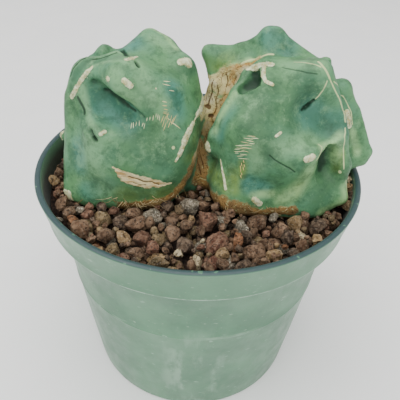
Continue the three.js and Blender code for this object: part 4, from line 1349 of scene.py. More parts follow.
@dataclass
class BarrelCactus:
    """The plant: two melted heads, their skin with its marks, wool, scratches and root hairs."""

    cell: float = 0.7
    low: Point = (-49, -28, 44)
    high: Point = (60, 30, 126)
    foot: float = 69.5
    foot_softness: float = 5.0
    heads_blend: float = 2.0
    neck_blend: float = 4.0
    batch: int = 16000
    hands: int = 4
    refinements: tuple[Range, ...] = ((2.2, 0.7), (0.75, 0.3))
    marks_foot: float = 74.5
    grit_top: float = 75.0
    back_from: float = 4.0
    scratch_stations: int = 7
    scratch_edge: float = 0.015
    scratch_height: float = 0.07
    scratch_width: Range = (0.07, 0.13)
    finest_wool: float = 0.6
    wool_density: float = 24.0
    wool_length: Range = (0.45, 0.85)
    wool_radius: Range = (0.03, 0.055)
    hair_spread: Point = (2.6, 0.4, 0.7)
    hair_length: Range = (1.8, 4.6)
    hair_radius: Range = (0.06, 0.11)
    seed: int = 771

    def distance(self, places: np.ndarray) -> np.ndarray:
        """Distance from the plant's smooth body.

        Args:
            places: points in millimetres, one a row.

        Returns:
            Distances, less than zero inside.
        """
        batches = np.array_split(places, max(1, len(places) // self.batch))
        with ThreadPoolExecutor(self.hands) as pool:
            return np.concatenate(list(pool.map(self.measured, batches)))

    def measured(self, places: np.ndarray) -> np.ndarray:
        """Distance from the plant's smooth body, for one batch of points."""
        d = soft_min(self.joined(LEFT_HEAD, places), self.joined(RIGHT_HEAD, places), self.heads_blend)
        d = soft_min(d, self.joined(NECK, places), self.neck_blend)
        d = soft_max(d, self.foot - places[:, 2], self.foot_softness)
        d = soft_min(d, self.joined(ROOT, places), self.neck_blend)
        for hollow in HOLLOWS:
            d = soft_max(d, -hollow.distance(places), hollow.blend)
        return d

    def joined(self, forms: Sequence[Form], places: np.ndarray) -> np.ndarray:
        """Distance from forms melted together in their order."""
        d = np.full(len(places), FAR)
        for form in forms:
            d = soft_min(d, form.distance(places), form.blend)
        return d

    def probed(self, places: np.ndarray, reach: float) -> np.ndarray:
        """Distances at the four corners of a small tetrahedron round each point."""
        around = [self.distance(places + reach * corner) for corner in TETRAHEDRON]
        return np.stack(around, -1)

    def slope(self, places: np.ndarray, reach: float = 0.05) -> np.ndarray:
        """The outward slope of the distance at points."""
        return self.probed(places, reach) @ TETRAHEDRON / (4 * reach)

    def settled(self, places: np.ndarray, rounds: int = 2, reach: float = 0.05) -> np.ndarray:
        """Points moved onto the plant's surface."""
        for _ in range(rounds):
            around = self.probed(places, reach)
            rise = around @ TETRAHEDRON / (4 * reach)
            square = np.maximum(np.einsum("ij,ij->i", rise, rise), 0.25)
            places = places - (around.mean(1) / square)[:, None] * rise
        return places

    def crest(self, places: np.ndarray, reach: float = 0.92) -> np.ndarray:
        """How much the surface bulges at points: above 0.5 on crests and below it in creases."""
        bend = 1.88 * (self.probed(places, reach).mean(1) - self.distance(places))
        return np.clip(0.5 + 0.45 * (bend - 0.12), 0, 1)

    def relief(self, places: np.ndarray, cover: dict[Mark, np.ndarray]) -> np.ndarray:
        """Small unevenness of the skin, coarser where it is corky or scarred.

        Args:
            places: points on the surface.
            cover: each mark's attribute at them.

        Returns:
            How far each point moves outwards, in millimetres.
        """
        cork = np.clip(2 * cover[Mark.CORK] - 0.6, 0, 1)
        scar = np.clip(2 * cover[Mark.SCAR] - 0.6, 0, 1)
        wool = np.clip(2 * cover[Mark.WOOL] - 0.6, 0, 1)
        out = np.zeros(len(places))
        for n, place in enumerate(places.tolist()):
            spot = Vector(place)
            soft = noise.noise(spot * 0.14)
            out[n] = 0.22 * soft + 0.05 * noise.noise(spot * 0.7)
            if cork[n] > 0:
                out[n] += cork[n] * (0.24 * noise.noise(spot * 0.55) - 0.22 * abs(noise.noise(spot * 1.1)))
            if scar[n] > 0:
                out[n] += scar[n] * 0.2 * noise.noise(Vector((place[0] * 0.4, place[1], place[2] * 1.2)))
            if wool[n] > 0:
                out[n] += wool[n] * 0.12 * noise.noise(spot * 1.2)
        return out

    def laid(self) -> list[tuple[Stroke, np.ndarray]]:
        """Each stroke with its line's points, moved onto the skin."""
        lines = [stroke.steps() for stroke in STROKES]
        moved = self.settled(np.concatenate(lines), 4)
        ends = np.cumsum([len(line) for line in lines])
        return [(stroke, moved[end - len(line):end]) for stroke, line, end in zip(STROKES, lines, ends)]

    def refine(self, skin: Piece, laid: Sequence[tuple[Stroke, np.ndarray]]) -> None:
        """Subdivides the skin near its fine marks, and once more at the finest of them."""
        mesh = skin.data
        pick(skin)
        for widest, margin in self.refinements:
            middles = np.empty(3 * len(mesh.polygons))
            mesh.polygons.foreach_get("center", middles)
            middles = middles.reshape(-1, 3) / MM
            near = np.zeros(len(middles), bool)
            for stroke, line in laid:
                if stroke.kind in FINE_MARKS and stroke.width < widest:
                    near |= stroke.distance(middles, line) < stroke.width + margin
            near &= middles[:, 2] > self.marks_foot
            bpy.ops.object.mode_set(mode="EDIT")
            bpy.ops.mesh.select_mode(type="FACE")
            bpy.ops.mesh.select_all(action="DESELECT")
            bpy.ops.object.mode_set(mode="OBJECT")
            mesh.polygons.foreach_set("select", near)
            bpy.ops.object.mode_set(mode="EDIT")
            bpy.ops.mesh.subdivide(number_cuts=1)
            bpy.ops.object.mode_set(mode="OBJECT")

    def make_skin(self) -> Piece:
        """Makes the plant's skin with its marks as attributes."""
        points, faces = surface_net(self.distance, self.low, self.high, self.cell)
        skin = object_of("cactus_skin", points, faces)
        laid = self.laid()
        self.refine(skin, laid)
        points = np.empty(3 * len(skin.data.vertices))
        skin.data.vertices.foreach_get("co", points)
        points = self.settled(points.reshape(-1, 3) / MM)
        rise = self.slope(points)
        normal = rise / np.linalg.norm(rise, axis=1)[:, None]
        crest = self.crest(points)
        cover = {kind: np.zeros(len(points)) for kind in Mark}
        lift = np.zeros(len(points))
        for stroke, line in laid:
            away = stroke.distance(points, line)
            cover[stroke.kind] = np.maximum(cover[stroke.kind], stroke.cover(away))
            lift += stroke.lift(away)
        buried = np.clip(0.5 + (self.grit_top - points[:, 2]) / 4, 0, 1)
        behind = np.where(points[:, 1] > self.back_from, 0.35, 0)
        cover[Mark.CORK] = np.maximum(cover[Mark.CORK], np.clip(buried + behind - 0.3, 0, 1))
        moved = points + normal * (lift + self.relief(points, cover))[:, None]
        skin.data.vertices.foreach_set("co", (moved * MM).ravel())
        skin.data.update()
        carry(skin, "crest", crest)
        for kind, values in cover.items():
            carry(skin, kind.value, values)
        smooth(skin)
        skin.data.materials.append(SkinFinish().made())
        return declare(skin, Slot.SKIN, Node.CACTUS)

    def way(
        self, tree: BVHTree, place: Point, across: Vector, step: float, count: int
    ) -> list[tuple[Vector, Vector]]:
        """Walks over the skin both ways from a place, square to a direction.

        Args:
            tree: the skin, in metres.
            place: the middle of the walk, in millimetres.
            across: what the walk stays square to.
            step: length of a step, in millimetres.
            count: how many steps each way.

        Returns:
            The skin's points and normals, from one end to the other.
        """
        middle, facing, _, _ = tree.find_nearest(Vector(place) * MM)
        walks = []
        for sense in (-1, 1):
            spot, normal = middle, facing
            walk = []
            for _ in range(count):
                ahead = normal.cross(across).normalized() * sense * step * MM
                spot, normal, _, _ = tree.find_nearest(spot + ahead)
                walk.append((spot, normal))
            walks.append(walk)
        return walks[0][::-1] + [(middle, facing)] + walks[1]

    def toned(
        self,
        name: str,
        points: np.ndarray,
        faces: Sequence[Sequence[int]],
        tones: np.ndarray,
        finish: StrandFinish,
    ) -> None:
        """Makes a piece of slivers or strands.

        Args:
            name: the piece's name.
            points: its vertices, in millimetres.
            faces: its faces.
            tones: each vertex's place between the finish's light and dark colour.
            finish: its finish.
        """
        made = object_of(name, points, faces)
        carry(made, "tone", tones)
        smooth(made)
        made.data.materials.append(finish.made())
        declare(made, Slot.SKIN, Node.CACTUS)

    def make_scratches(self, tree: BVHTree) -> None:
        """Makes the healed scratches, thin raised slivers on the skin.

        Args:
            tree: the skin, in metres.
        """
        random = np.random.default_rng(self.seed)
        points: list[Vector] = []
        faces: list[list[int]] = []
        tones: list[float] = []
        stations = self.scratch_stations
        for group in SCRATCHES:
            for place in group.places:
                length = group.length * random.uniform(0.7, 1.2)
                width = random.uniform(*self.scratch_width)
                across = Vector(group.square_to) + Vector(random.normal(0, 0.07, 3))
                tone = min(max(group.kind.value + random.uniform(-0.2, 0.2), 0), 1)
                first = len(points)
                way = self.way(tree, place, across, length / (stations - 1), stations // 2)
                for n, (spot, normal) in enumerate(way):
                    share = n / (stations - 1) - 0.5
                    side = normal.cross(normal.cross(across)).normalized()
                    side *= width * (1 - (2 * share) ** 2) + self.scratch_edge
                    points += [spot / MM + side, spot / MM + normal * self.scratch_height, spot / MM - side]
                    tones += [tone] * 3
                for n in range(stations - 1):
                    a = first + 3 * n
                    faces += [[a, a + 3, a + 4, a + 1], [a + 1, a + 4, a + 5, a + 2]]
        finish = StrandFinish("scratch_cork", linear(206, 216, 170), linear(206, 184, 122))
        places = np.array([tuple(point) for point in points])
        self.toned("healed_scratches", places, faces, np.array(tones), finish)

    def make_wool(self, tree: BVHTree) -> None:
        """Makes the short curled wool of the areoles.

        Args:
            tree: the skin, in metres.
        """
        random = np.random.default_rng(self.seed + 1)
        paths = []
        radii = []
        for stroke, line in self.laid():
            if stroke.kind is not Mark.WOOL or stroke.width < self.finest_wool or len(line) < 2:
                continue
            for _ in range(int(self.wool_density * stroke.width) * (len(line) - 1)):
                piece = random.integers(len(line) - 1)
                place = line[piece] + (line[piece + 1] - line[piece]) * random.random()
                place = place + random.normal(0, 0.4 * stroke.width, 3)
                start, out = footing(tree, place)
                lean = random.normal(0, 1, 3)
                lean -= out * (lean @ out)
                lean /= np.linalg.norm(lean)
                length = random.uniform(*self.wool_length)
                paths.append(np.array([
                    start - out * 0.05,
                    start + out * 0.12 + lean * length * 0.35,
                    start + out * 0.14 + lean * length * 0.75,
                    start + out * 0.05 + lean * length,
                ]))
                radii.append(random.uniform(*self.wool_radius))
        points, faces = tubes(paths, radii)
        tones = np.repeat(random.random(len(paths)), len(points) // len(paths))
        finish = StrandFinish("areole_wool", linear(222, 226, 200), linear(184, 178, 122))
        self.toned("areole_wool", points, faces, tones, finish)

    def make_root_hairs(self, tree: BVHTree) -> None:
        """Makes the loose dry fibres round the plant's foot.

        Args:
            tree: the skin, in metres.
        """
        random = np.random.default_rng(self.seed + 2)
        paths = []
        radii = []
        for middle, count in ROOT_CLUMPS:
            for _ in range(count):
                place = np.array(middle) + random.normal(0, self.hair_spread)
                start, out = footing(tree, place)
                lean = np.array([random.normal(0, 1), 0.2 * random.normal(), -0.55 + 0.3 * random.normal()])
                lean /= np.linalg.norm(lean)
                length = random.uniform(*self.hair_length)
                bend = random.normal(0, 0.35, 3)
                shares = np.linspace(0, 1, 6)[:, None]
                path = start + lean * length * shares + bend * shares * shares * length * 0.4
                path = path + out * (0.12 + 0.55 * np.sin(shares * math.pi) + 0.25 * shares)
                paths.append(path)
                radii.append(random.uniform(*self.hair_radius))
        points, faces = tubes(paths, radii)
        tones = np.repeat(random.random(len(paths)), len(points) // len(paths))
        finish = StrandFinish("root_hair", linear(200, 184, 140), linear(118, 88, 54))
        self.toned("root_hairs", points, faces, tones, finish)

    def build(self) -> None:
        """Makes every piece of the plant."""
        skin = self.make_skin()
        tree = BVHTree.FromObject(skin, bpy.context.evaluated_depsgraph_get())
        self.make_scratches(tree)
        self.make_wool(tree)
        self.make_root_hairs(tree)


@dataclass
class NurseryPot:
    """The thin plastic pot: base, tapering body with a moulded ring, collar, rim and drain holes."""

    height: float = 81.0
    rim_radius: float = 52.5
    collar_height: float = 12.0
    collar_foot_radius: float = 50.0
    body_top_radius: float = 46.4
    shoulder_drop: float = 2.0
    base_radius: float = 38.3
    base_rounding: float = 1.2
    wall: float = 1.3
    rim_rounding: float = 0.35
    lip_width: float = 1.9
    ring_height: float = 44.5
    ring_width: float = 1.2
    ring_step: float = 0.2
    drain_holes: int = 8
    drain_radius: float = 3.5
    drain_circle_radius: float = 29.0
    recess_radius: float = 35.0
    recess_depth: float = 0.5
    sides: int = 192

    @property
    def collar_foot(self) -> float:
        """Height of the collar's lower edge."""
        return self.height - self.collar_height

    @property
    def shoulder_foot(self) -> float:
        """Height at which the body turns out towards the collar."""
        return self.collar_foot - self.shoulder_drop

    def body_radius(self, height: float) -> float:
        """Outer radius of the body at a height below the shoulder."""
        return self.base_radius + (self.body_top_radius - self.base_radius) * height / self.shoulder_foot

    def inner_radius(self, height: float) -> float:
        """Radius of the pot's inside at a height."""
        if height <= self.shoulder_foot + self.wall:
            return self.body_radius(height) - self.wall
        share = (height - self.collar_foot) / self.collar_height
        return self.collar_foot_radius - self.wall + (self.rim_radius - self.collar_foot_radius) * share

    def outline(self) -> list[tuple[float, float]]:
        """Radius and height from the middle of the base up the outside, over the rim and down the inside."""
        body, inner = self.body_radius, self.inner_radius
        ring, step = self.ring_height, self.ring_step
        shoulder, foot = self.shoulder_foot, self.collar_foot
        neck, collar, rim = self.body_top_radius, self.collar_foot_radius, self.rim_radius
        grow = (rim - collar) / self.collar_height
        bend = self.base_rounding
        under = [(8, self.recess_depth), (20, self.recess_depth)]
        under += [(self.recess_radius - 0.4, self.recess_depth), (self.recess_radius, 0)]
        rounded = [
            (self.base_radius - bend * (1 - math.sin(t)), bend * (1 - math.cos(t)))
            for t in np.linspace(0, math.pi / 2, 5)
        ]
        side = [
            (body(20), 20),
            (body(ring - self.ring_width), ring - self.ring_width),
            (body(ring) + step, ring - step),
            (body(ring) + 0.3 * step, ring + step),
            (body(56), 56),
            (neck - 0.15, shoulder - 0.5),
            (neck + 0.35, shoulder + 0.15),
            (collar - 0.5, foot - 0.42),
            (collar - 0.1, foot - 0.28),
            (collar + 0.12, foot),
            (collar + 0.12 + 0.5 * grow, foot + 0.4),
            (collar + 0.9 * grow, foot + 0.9),
            (collar + 6 * grow, foot + 6),
            (rim - grow, self.height - 1.2),
        ]
        half = 0.5 * self.lip_width
        lip = [
            (rim - half + half * math.cos(t), self.height - self.rim_rounding * (1.6 - 1.6 * math.sin(t)))
            for t in np.linspace(0, math.pi, 9)
        ]
        inside = [
            (inner(76), 76),
            (inner(foot + 2.2), foot + 2.2),
            (inner(foot + 1.5), foot + 1.3),
            (neck - self.wall + 0.3, shoulder + self.wall + 0.2),
            (inner(shoulder), shoulder),
            (inner(30), 30),
            (inner(3), 3),
            (inner(2) - 0.4, 1.7),
            (inner(1.3) - 1.2, self.wall),
            (20, self.wall),
            (8, self.wall),
        ]
        return under + rounded + side + lip + inside

    def make_wall(self) -> Piece:
        """Makes the whole wall and base, without holes."""
        pot = drawn_up("pot_wall", self.outline(), self.sides)
        bpy.ops.mesh.select_all(action="SELECT")
        bpy.ops.mesh.remove_doubles(threshold=1e-6)
        closed_up()
        return pot

    def mark_inside(self, pot: Piece) -> None:
        """Marks the inner face of the wall, which the finish darkens as painted shade."""
        places = np.empty(3 * len(pot.data.vertices))
        pot.data.vertices.foreach_get("co", places)
        places = places.reshape(-1, 3) / MM
        reach = np.hypot(places[:, 0], places[:, 1])
        face = np.array([self.inner_radius(float(z)) for z in places[:, 2]])
        within = (reach < face + 0.3) & (places[:, 2] > self.wall + 0.5) & (places[:, 2] < self.height - 1)
        carry(pot, "inside", within.astype(float))

    def drill(self, pot: Piece) -> None:
        """Cuts the drainage holes out of the base."""
        deselect()
        for number in range(self.drain_holes):
            angle = (number + 0.5) / self.drain_holes * 2 * math.pi
            out = self.drain_circle_radius * MM
            bpy.ops.mesh.primitive_cylinder_add(
                vertices=40,
                radius=self.drain_radius * MM,
                depth=6 * MM,
                location=(out * math.cos(angle), out * math.sin(angle), 0),
            )
            cutter = bpy.context.active_object
            bpy.ops.object.transform_apply(location=True, rotation=True, scale=True)
            bpy.context.view_layer.objects.active = pot
            cut = pot.modifiers.new("drain", "BOOLEAN")
            cut.operation = "DIFFERENCE"
            cut.solver = "EXACT"
            cut.object = cutter
            bpy.ops.object.modifier_apply(modifier=cut.name)
            bpy.data.objects.remove(cutter)
            deselect()

    def build(self) -> None:
        """Makes the pot."""
        pot = self.make_wall()
        self.drill(pot)
        smooth(pot, 32)
        self.mark_inside(pot)
        pot.data.materials.append(PotPlasticFinish().made())
        declare(pot, Slot.POT, Node.POT)


class StoneKind(Enum):
    """The kinds of stone in the grit: their tint, how often they come and how speckled they are."""

    BROWN = (linear(94, 70, 52), 0.42, 0.1)
    RED = (linear(94, 60, 46), 0.12, 0.1)
    DARK = (linear(56, 44, 36), 0.2, 0.1)
    OLIVE = (linear(96, 82, 54), 0.14, 0.15)
    TAN = (linear(136, 112, 76), 0.05, 0.2)
    ORANGE = (linear(130, 84, 52), 0.02, 0.1)
    GREY = (linear(106, 104, 92), 0.03, 0.6)
    CREAM = (linear(172, 160, 128), 0.012, 0.4)

    def __init__(self, tint: Colour, share: float, speckle: float) -> None:
        """Keeps the kind's colour, how often it comes and how speckled it is, 0 to 1."""
        self.tint = tint
        self.share = share
        self.speckle = speckle


@dataclass(frozen=True)
class ChosenStone:
    """A stone that lies where the real one does."""

    kind: StoneKind
    place: Point
    radii: Point
    turn: float


CHOSEN_STONES = [ChosenStone(*row) for row in (
    (StoneKind.GREY, (-2.2, -17.6, 75.2), (3.5, 3, 2.8), 0.5),
    (StoneKind.GREY, (-12.8, -23.2, 74.8), (3.1, 2.4, 2.4), 0.3),
    (StoneKind.GREY, (7.6, -23.8, 74.6), (1.5, 2.3, 2), 0.2),
    (StoneKind.GREY, (13.4, -27, 74.8), (1.9, 3.2, 2.2), 0.45),
    (StoneKind.GREY, (1.6, -35, 74.4), (2.2, 1.6, 1.6), 0.1),
    (StoneKind.CREAM, (0.4, -42.4, 74.6), (1.8, 2.8, 2), 0.05),
    (StoneKind.CREAM, (-6.5, -44.4, 74), (1.7, 1.1, 1.2), 0.2),
    (StoneKind.RED, (6.1, -34.5, 75), (3.3, 3.4, 2.9), 0.4),
    (StoneKind.ORANGE, (11.8, -34.6, 75.6), (1.5, 1.7, 3.6), 0.1),
    (StoneKind.TAN, (22.2, -37.9, 74.6), (2.5, 1.9, 1.7), 0.15),
    (StoneKind.BROWN, (-18, -27.4, 75), (3.2, 3, 2.7), 0.7),
    (StoneKind.OLIVE, (-32.1, -28.6, 74.6), (2.2, 2.6, 2.3), 0.3),
    (StoneKind.DARK, (-22.2, -26.2, 74.8), (2.6, 2.4, 2.2), 1.1),
    (StoneKind.RED, (3.1, -24.8, 75.4), (3, 3.6, 2.8), 0.2),
    (StoneKind.DARK, (-3.4, -36, 74.9), (2.7, 2.5, 2.3), 0.9),
    (StoneKind.TAN, (-9.4, -41.2, 74.5), (3.6, 1.9, 1.8), 0.15),
    (StoneKind.BROWN, (16.4, -36.9, 75), (3, 2.9, 2.6), 0.35),
    (StoneKind.RED, (4.7, -41.4, 74.4), (2.6, 2.3, 2), 0.5),
    (StoneKind.CREAM, (31.2, -29.3, 74.5), (1.7, 2.4, 1.9), 0.4),
    (StoneKind.BROWN, (28.6, -30, 74.5), (2.2, 2.1, 1.9), 0.9),
    (StoneKind.CREAM, (48.6, -3.6, 79), (1.5, 1.8, 1.5), 0.3),
    (StoneKind.TAN, (48.7, -7.2, 78), (1.4, 1.6, 1.5), 1),
    (StoneKind.DARK, (48.4, -10.6, 77), (1.4, 1.5, 1.5), 0.6),
    (StoneKind.BROWN, (48.8, 0.2, 78), (1.6, 1.8, 1.7), 0.2),
    (StoneKind.DARK, (48, -5.4, 75.4), (2.2, 2.6, 1.8), 0.4),
    (StoneKind.OLIVE, (47, -13.8, 75.4), (1.7, 1.8, 1.7), 0.8),
)]

StonePart = tuple[np.ndarray, np.ndarray, StoneKind, float]


@dataclass
class GritBed:
    """Lava grit: fines that fill the pot, and stones dropped one by one onto them."""

    pot: NurseryPot
    plant: BarrelCactus
    bed_height: float = 71.2
    gap: float = 0.3
    top_rings: int = 22
    top_ring_width: float = 2.1
    stones: int = 1150
    small_after: float = 0.75
    tries: int = 14
    smallest: float = 1.0
    largest: float = 3.1
    different_stones: int = 16
    flats: int = 11
    cell: float = 0.5
    span: float = 50.0
    drop_span: float = 48.0
    farthest: float = 47.5
    highest: float = 76.2
    ceiling: float = 90.0
    room_low: Point = (-50, -30, 68)
    room_high: Point = (50, 30, 84)
    seed: int = 4127

    def make_fines(self) -> Piece:
        """Makes the body of fines inside the pot, uneven on top."""
        levels = [(self.pot.inner_radius(2) - 1.2, self.pot.wall + self.gap)]
        for height in (5, 60, self.pot.shoulder_foot, self.bed_height):
            levels.append((self.pot.inner_radius(height) - self.gap, height))
        fines = drawn_up("grit_fines", levels, 96)
        for _ in range(self.top_rings):
            bpy.ops.mesh.inset(thickness=self.top_ring_width * MM)
        closed_up()
        edge = (self.bed_height - 0.5) * MM
        for vertex in fines.data.vertices:
            if vertex.co.z > edge:
                lump = 1.1 * MM * noise.noise(vertex.co * 330)
                vertex.co.z += lump + 0.5 * MM * noise.noise(vertex.co * 900)
        smooth(fines, 50)
        fines.data.materials.append(SoilFinish().made())
        return declare(fines, Slot.GRIT, Node.SOIL)

    def stone_shapes(self, level: int, count: int, seed: int) -> tuple[list[np.ndarray], np.ndarray]:
        """Models stones: a ball cut flat on several sides and roughened.

        Args:
            level: how finely the ball is divided.
            count: how many different stones.
            seed: start of the random numbers.

        Returns:
            The vertices of each stone, of radius one, and the faces that they share.
        """
        deselect()
        bpy.ops.mesh.primitive_ico_sphere_add(subdivisions=level, radius=1)
        ball = bpy.context.active_object
        start = np.array([vertex.co for vertex in ball.data.vertices])
        start /= np.linalg.norm(start, axis=1)[:, None]
        faces = np.array([polygon.vertices[:] for polygon in ball.data.polygons])
        bpy.data.objects.remove(ball)
        random = np.random.default_rng(seed)
        shapes = []
        for _ in range(count):
            cuts = random.normal(0, 1, (self.flats, 3))
            cuts /= np.linalg.norm(cuts, axis=1)[:, None]
            depth = random.uniform(0.6, 0.93, self.flats)
            facing = start @ cuts.T
            reach = np.where(facing > 0.05, depth / np.maximum(facing, 0.05), 9).min(1)
            reach = np.minimum(reach, 1.1)
            shift = Vector(random.uniform(-50, 50, 3))
            rough = np.array([
                0.16 * noise.noise(Vector(v) * 1.7 + shift) + 0.1 * noise.noise(Vector(v) * 3.9 + shift)
                for v in start
            ])
            shapes.append(start * (reach * (1 + rough))[:, None])
        return shapes, faces

    @property
    def axis(self) -> np.ndarray:
        """The places of the ground's grid along x, and along y."""
        return -self.span + np.arange(int(2 * self.span / self.cell) + 1) * self.cell

    def ground(self) -> np.ndarray:
        """The height that stones rest on over the grid, and a great height outside the pot."""
        x, y = np.meshgrid(self.axis, self.axis, indexing="ij")
        reach = self.pot.inner_radius(self.bed_height + 2) - self.gap
        return np.where(np.hypot(x, y) < reach, self.bed_height - 0.6, FAR)

    def room(self) -> np.ndarray:
        """Distance from the plant at each whole millimetre of the room that stones may take."""
        axes = [np.arange(low, high + 0.1) for low, high in zip(self.room_low, self.room_high)]
        lattice = np.stack(np.meshgrid(*axes, indexing="ij"), -1).reshape(-1, 3)
        return self.plant.distance(lattice).reshape([len(axis) for axis in axes])

    def patch(self, x: float, y: float, reach: float) -> tuple[slice, slice, np.ndarray]:
        """The grid's rows and columns round a place, and the squared height of a ball over them."""
        starts = [max(int((at - reach + self.span) / self.cell), 0) for at in (x, y)]
        ends = [int((at + reach + self.span) / self.cell) + 2 for at in (x, y)]
        rows, columns = map(slice, starts, ends)
        dx = self.axis[rows, None] - x
        dy = self.axis[None, columns] - y
        return rows, columns, reach * reach - dx * dx - dy * dy

    def dropped(self) -> list[tuple[np.ndarray, float, StoneKind]]:
        """Drops stones one by one, each at the lowest of several places.

        Returns:
            Place, radius and kind of each stone.
        """
        random = np.random.default_rng(self.seed)
        ground = self.ground()
        room = self.room()

        def clear(place: Point) -> float:
            """Distance from the plant."""
            if abs(place[1]) > self.room_high[1] - 1 or place[2] > self.room_high[2] - 1:
                return FAR
            return float(room[tuple(int(round(at - low)) for at, low in zip(place, self.room_low))])

        def cover(place: Point, reach: float, rise: float) -> None:
            """Raises the ground to a stone's upper half."""
            rows, columns, square = self.patch(place[0], place[1], reach)
            cap = np.where(square > 0, place[2] + rise * np.sqrt(np.maximum(square, 0)), -FAR)
            ground[rows, columns] = np.maximum(ground[rows, columns], cap)

        for stone in CHOSEN_STONES:
            reach = (stone.radii[0] + stone.radii[1]) / 2
            cover(stone.place, reach, 0.8 * stone.radii[2] / reach)
        kinds = list(StoneKind)
        shares = np.array([kind.share for kind in kinds])
        shares /= shares.sum()
        taken = []
        for number in range(self.stones):
            size = random.random()
            radius = self.smallest + (self.largest - self.smallest) * (size ** 1.3)
            if number > self.small_after * self.stones:
                radius = self.smallest * random.uniform(0.6, 1.3)
            kind = kinds[random.choice(len(kinds), p=shares)]
            best = None
            for x, y in random.uniform(-self.drop_span, self.drop_span, (self.tries, 2)):
                if x * x + y * y > self.farthest ** 2:
                    continue
                rows, columns, square = self.patch(x, y, 0.85 * radius)
                under = ground[rows, columns] + np.sqrt(np.maximum(square, 0)) * 0.8
                z = float(under[square > 0].max()) if (square > 0).any() else FAR
                if z > self.ceiling or clear((x, y, z)) < 0.75 * radius:
                    continue
                if best is None or z < best[2]:
                    best = (x, y, z)
            if best is None or best[2] > self.highest + 0.3 * radius:
                continue
            cover(best, 0.95 * radius, 0.85)
            taken.append((np.array(best), radius, kind))
        return taken

    def joined_stones(self, name: str, parts: Sequence[StonePart]) -> Piece:
        """Makes one piece of many stones.

        Args:
            name: the piece's name.
            parts: for each stone its vertices, faces, kind and how light it is.

        Returns:
            The piece, with each stone's tint and speckle as attributes.
        """
        points = np.concatenate([part[0] for part in parts])
        starts = np.cumsum([0] + [len(part[0]) for part in parts[:-1]])
        faces = np.concatenate([part[1] + start for part, start in zip(parts, starts)])
        made = object_of(name, points, faces)
        tints = np.concatenate([
            np.tile([*(np.array(kind.tint) * light), 1], (len(v), 1)) for v, _, kind, light in parts
        ])
        layer = made.data.attributes.new("tint", "FLOAT_COLOR", "POINT")
        layer.data.foreach_set("color", tints.astype(np.float32).ravel())
        carry(made, "speckle", np.concatenate([np.full(len(v), kind.speckle) for v, _, kind, _ in parts]))
        smooth(made, 28)
        return made

    def make_stones(self) -> None:
        """Makes the dropped stones and the chosen ones."""
        random = np.random.default_rng(self.seed + 5)
        shapes, faces = self.stone_shapes(2, self.different_stones, self.seed + 1)
        parts = []
        for place, radius, kind in self.dropped():
            shape = shapes[random.integers(len(shapes))]
            stretch = (1, random.uniform(0.75, 1), random.uniform(0.7, 0.95))
            turned = self.turned(random, shape, stretch)
            parts.append((place + turned * radius, faces, kind, random.uniform(0.75, 1.25)))
        log.info("stones dropped: %d", len(parts))
        stones = self.joined_stones("lava_stones", parts)
        finish = GritFinish().made()
        stones.data.materials.append(finish)
        declare(stones, Slot.GRIT, Node.SOIL)
        shapes, faces = self.stone_shapes(4, len(CHOSEN_STONES), self.seed + 2)
        parts = []
        for stone, shape in zip(CHOSEN_STONES, shapes):
            sized = shape * np.array(stone.radii) * 1.06
            cos, sin = math.cos(stone.turn), math.sin(stone.turn)
            sized = sized @ np.array([[cos, sin, 0], [-sin, cos, 0], [0, 0, 1]])
            parts.append((sized + np.array(stone.place), faces, stone.kind, 1))
        chosen = self.joined_stones("chosen_stones", parts)
        chosen.data.materials.append(finish)
        declare(chosen, Slot.GRIT, Node.SOIL)

    def turned(self, random: np.random.Generator, shape: np.ndarray, stretch: Point) -> np.ndarray:
        """A stone's vertices, stretched and then turned at random."""
        turn = np.array(Quaternion(random.normal(0, 1, 4)).normalized().to_matrix())
        return (shape * np.array(stretch)) @ turn.T

    def build(self) -> None:
        """Makes the fines and the stones."""
        self.make_fines()
        self.make_stones()


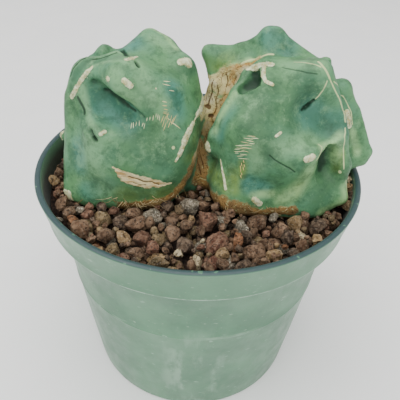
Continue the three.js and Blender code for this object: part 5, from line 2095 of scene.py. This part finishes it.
@dataclass
class Studio:
    """The pale floor, the soft light and the camera at the photograph's angle."""

    eye: Point = (0.0002, -0.1402, 0.1699)
    aim: Point = (0.00094, 0, 0.0648)
    roll_deg: float = 2.65
    lens: float = 45.0
    sensor: float = 36.0
    floor_radius: float = 3.0
    surround: float = 0.8

    def make_floor(self) -> None:
        """Makes the round floor."""
        deselect()
        bpy.ops.mesh.primitive_circle_add(vertices=96, radius=self.floor_radius, fill_type="NGON")
        floor = bpy.context.active_object
        floor.name = "floor"
        bpy.ops.object.mode_set(mode="EDIT")
        bpy.ops.mesh.select_all(action="SELECT")
        bpy.ops.mesh.inset(thickness=0.6 * self.floor_radius)
        bpy.ops.object.mode_set(mode="OBJECT")
        floor.data.materials.append(FloorFinish().made())
        floor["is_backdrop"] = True

    def make_light(self, name: str, place: Point, size: float, watts: float, tint: Colour) -> None:
        """Hangs a square soft light that faces the plant."""
        data = bpy.data.lights.new(name, "AREA")
        data.shape = "SQUARE"
        data.size = size
        data.energy = watts
        data.color = tint
        lamp = bpy.data.objects.new(name, data)
        lamp.location = place
        lamp.rotation_euler = (Vector((0, 0, 0.08)) - Vector(place)).to_track_quat("-Z", "Y").to_euler()
        bpy.context.scene.collection.objects.link(lamp)

    def make_world(self) -> None:
        """Sets an even, almost white surround."""
        world = bpy.data.worlds.new("soft_white")
        world.use_nodes = True
        background = world.node_tree.nodes["Background"]
        background.inputs["Color"].default_value = (1, 1, 0.99, 1)
        background.inputs["Strength"].default_value = self.surround
        bpy.context.scene.world = world

    def make_camera(self) -> None:
        """Places the camera where the photograph was taken from."""
        data = bpy.data.cameras.new("photo_camera")
        data.lens = self.lens
        data.sensor_width = self.sensor
        data.sensor_fit = "HORIZONTAL"
        data.clip_start = 0.01
        data.clip_end = 20.0
        camera = bpy.data.objects.new("photo_camera", data)
        forward = (Vector(self.aim) - Vector(self.eye)).normalized()
        right = forward.cross(Vector((0, 0, 1))).normalized()
        up = right.cross(forward)
        roll = math.radians(self.roll_deg)
        turned_right = math.cos(roll) * right + math.sin(roll) * up
        turned_up = -math.sin(roll) * right + math.cos(roll) * up
        basis = Matrix((turned_right, turned_up, -forward)).transposed().to_4x4()
        camera.matrix_world = Matrix.Translation(Vector(self.eye)) @ basis
        bpy.context.scene.collection.objects.link(camera)
        bpy.context.scene.camera = camera

    def build(self) -> None:
        """Makes the whole studio."""
        self.make_camera()
        self.make_floor()
        self.make_world()
        self.make_light(
            "overhead_light", place=(-0.16, -0.2, 1), size=1.3, watts=17, tint=(1, 0.995, 0.98)
        )
        self.make_light("front_light", place=(0.3, -0.9, 0.5), size=0.5, watts=2.5, tint=(0.98, 0.99, 1))


def corners(box: tuple[Vector, Vector]) -> list[list[float]]:
    """A box's two corners as plain lists of numbers."""
    return [[float(value) for value in corner] for corner in box]


def main() -> None:
    logging.basicConfig(level=logging.INFO, format="%(message)s")
    cad_box = corners(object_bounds())
    Studio().build()
    pot = NurseryPot()
    pot.build()
    plant = BarrelCactus()
    plant.build()
    GritBed(pot, plant).build()
    {"cad": cad_box, "visual": corners(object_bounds())}


if __name__ == "__main__":
    main()
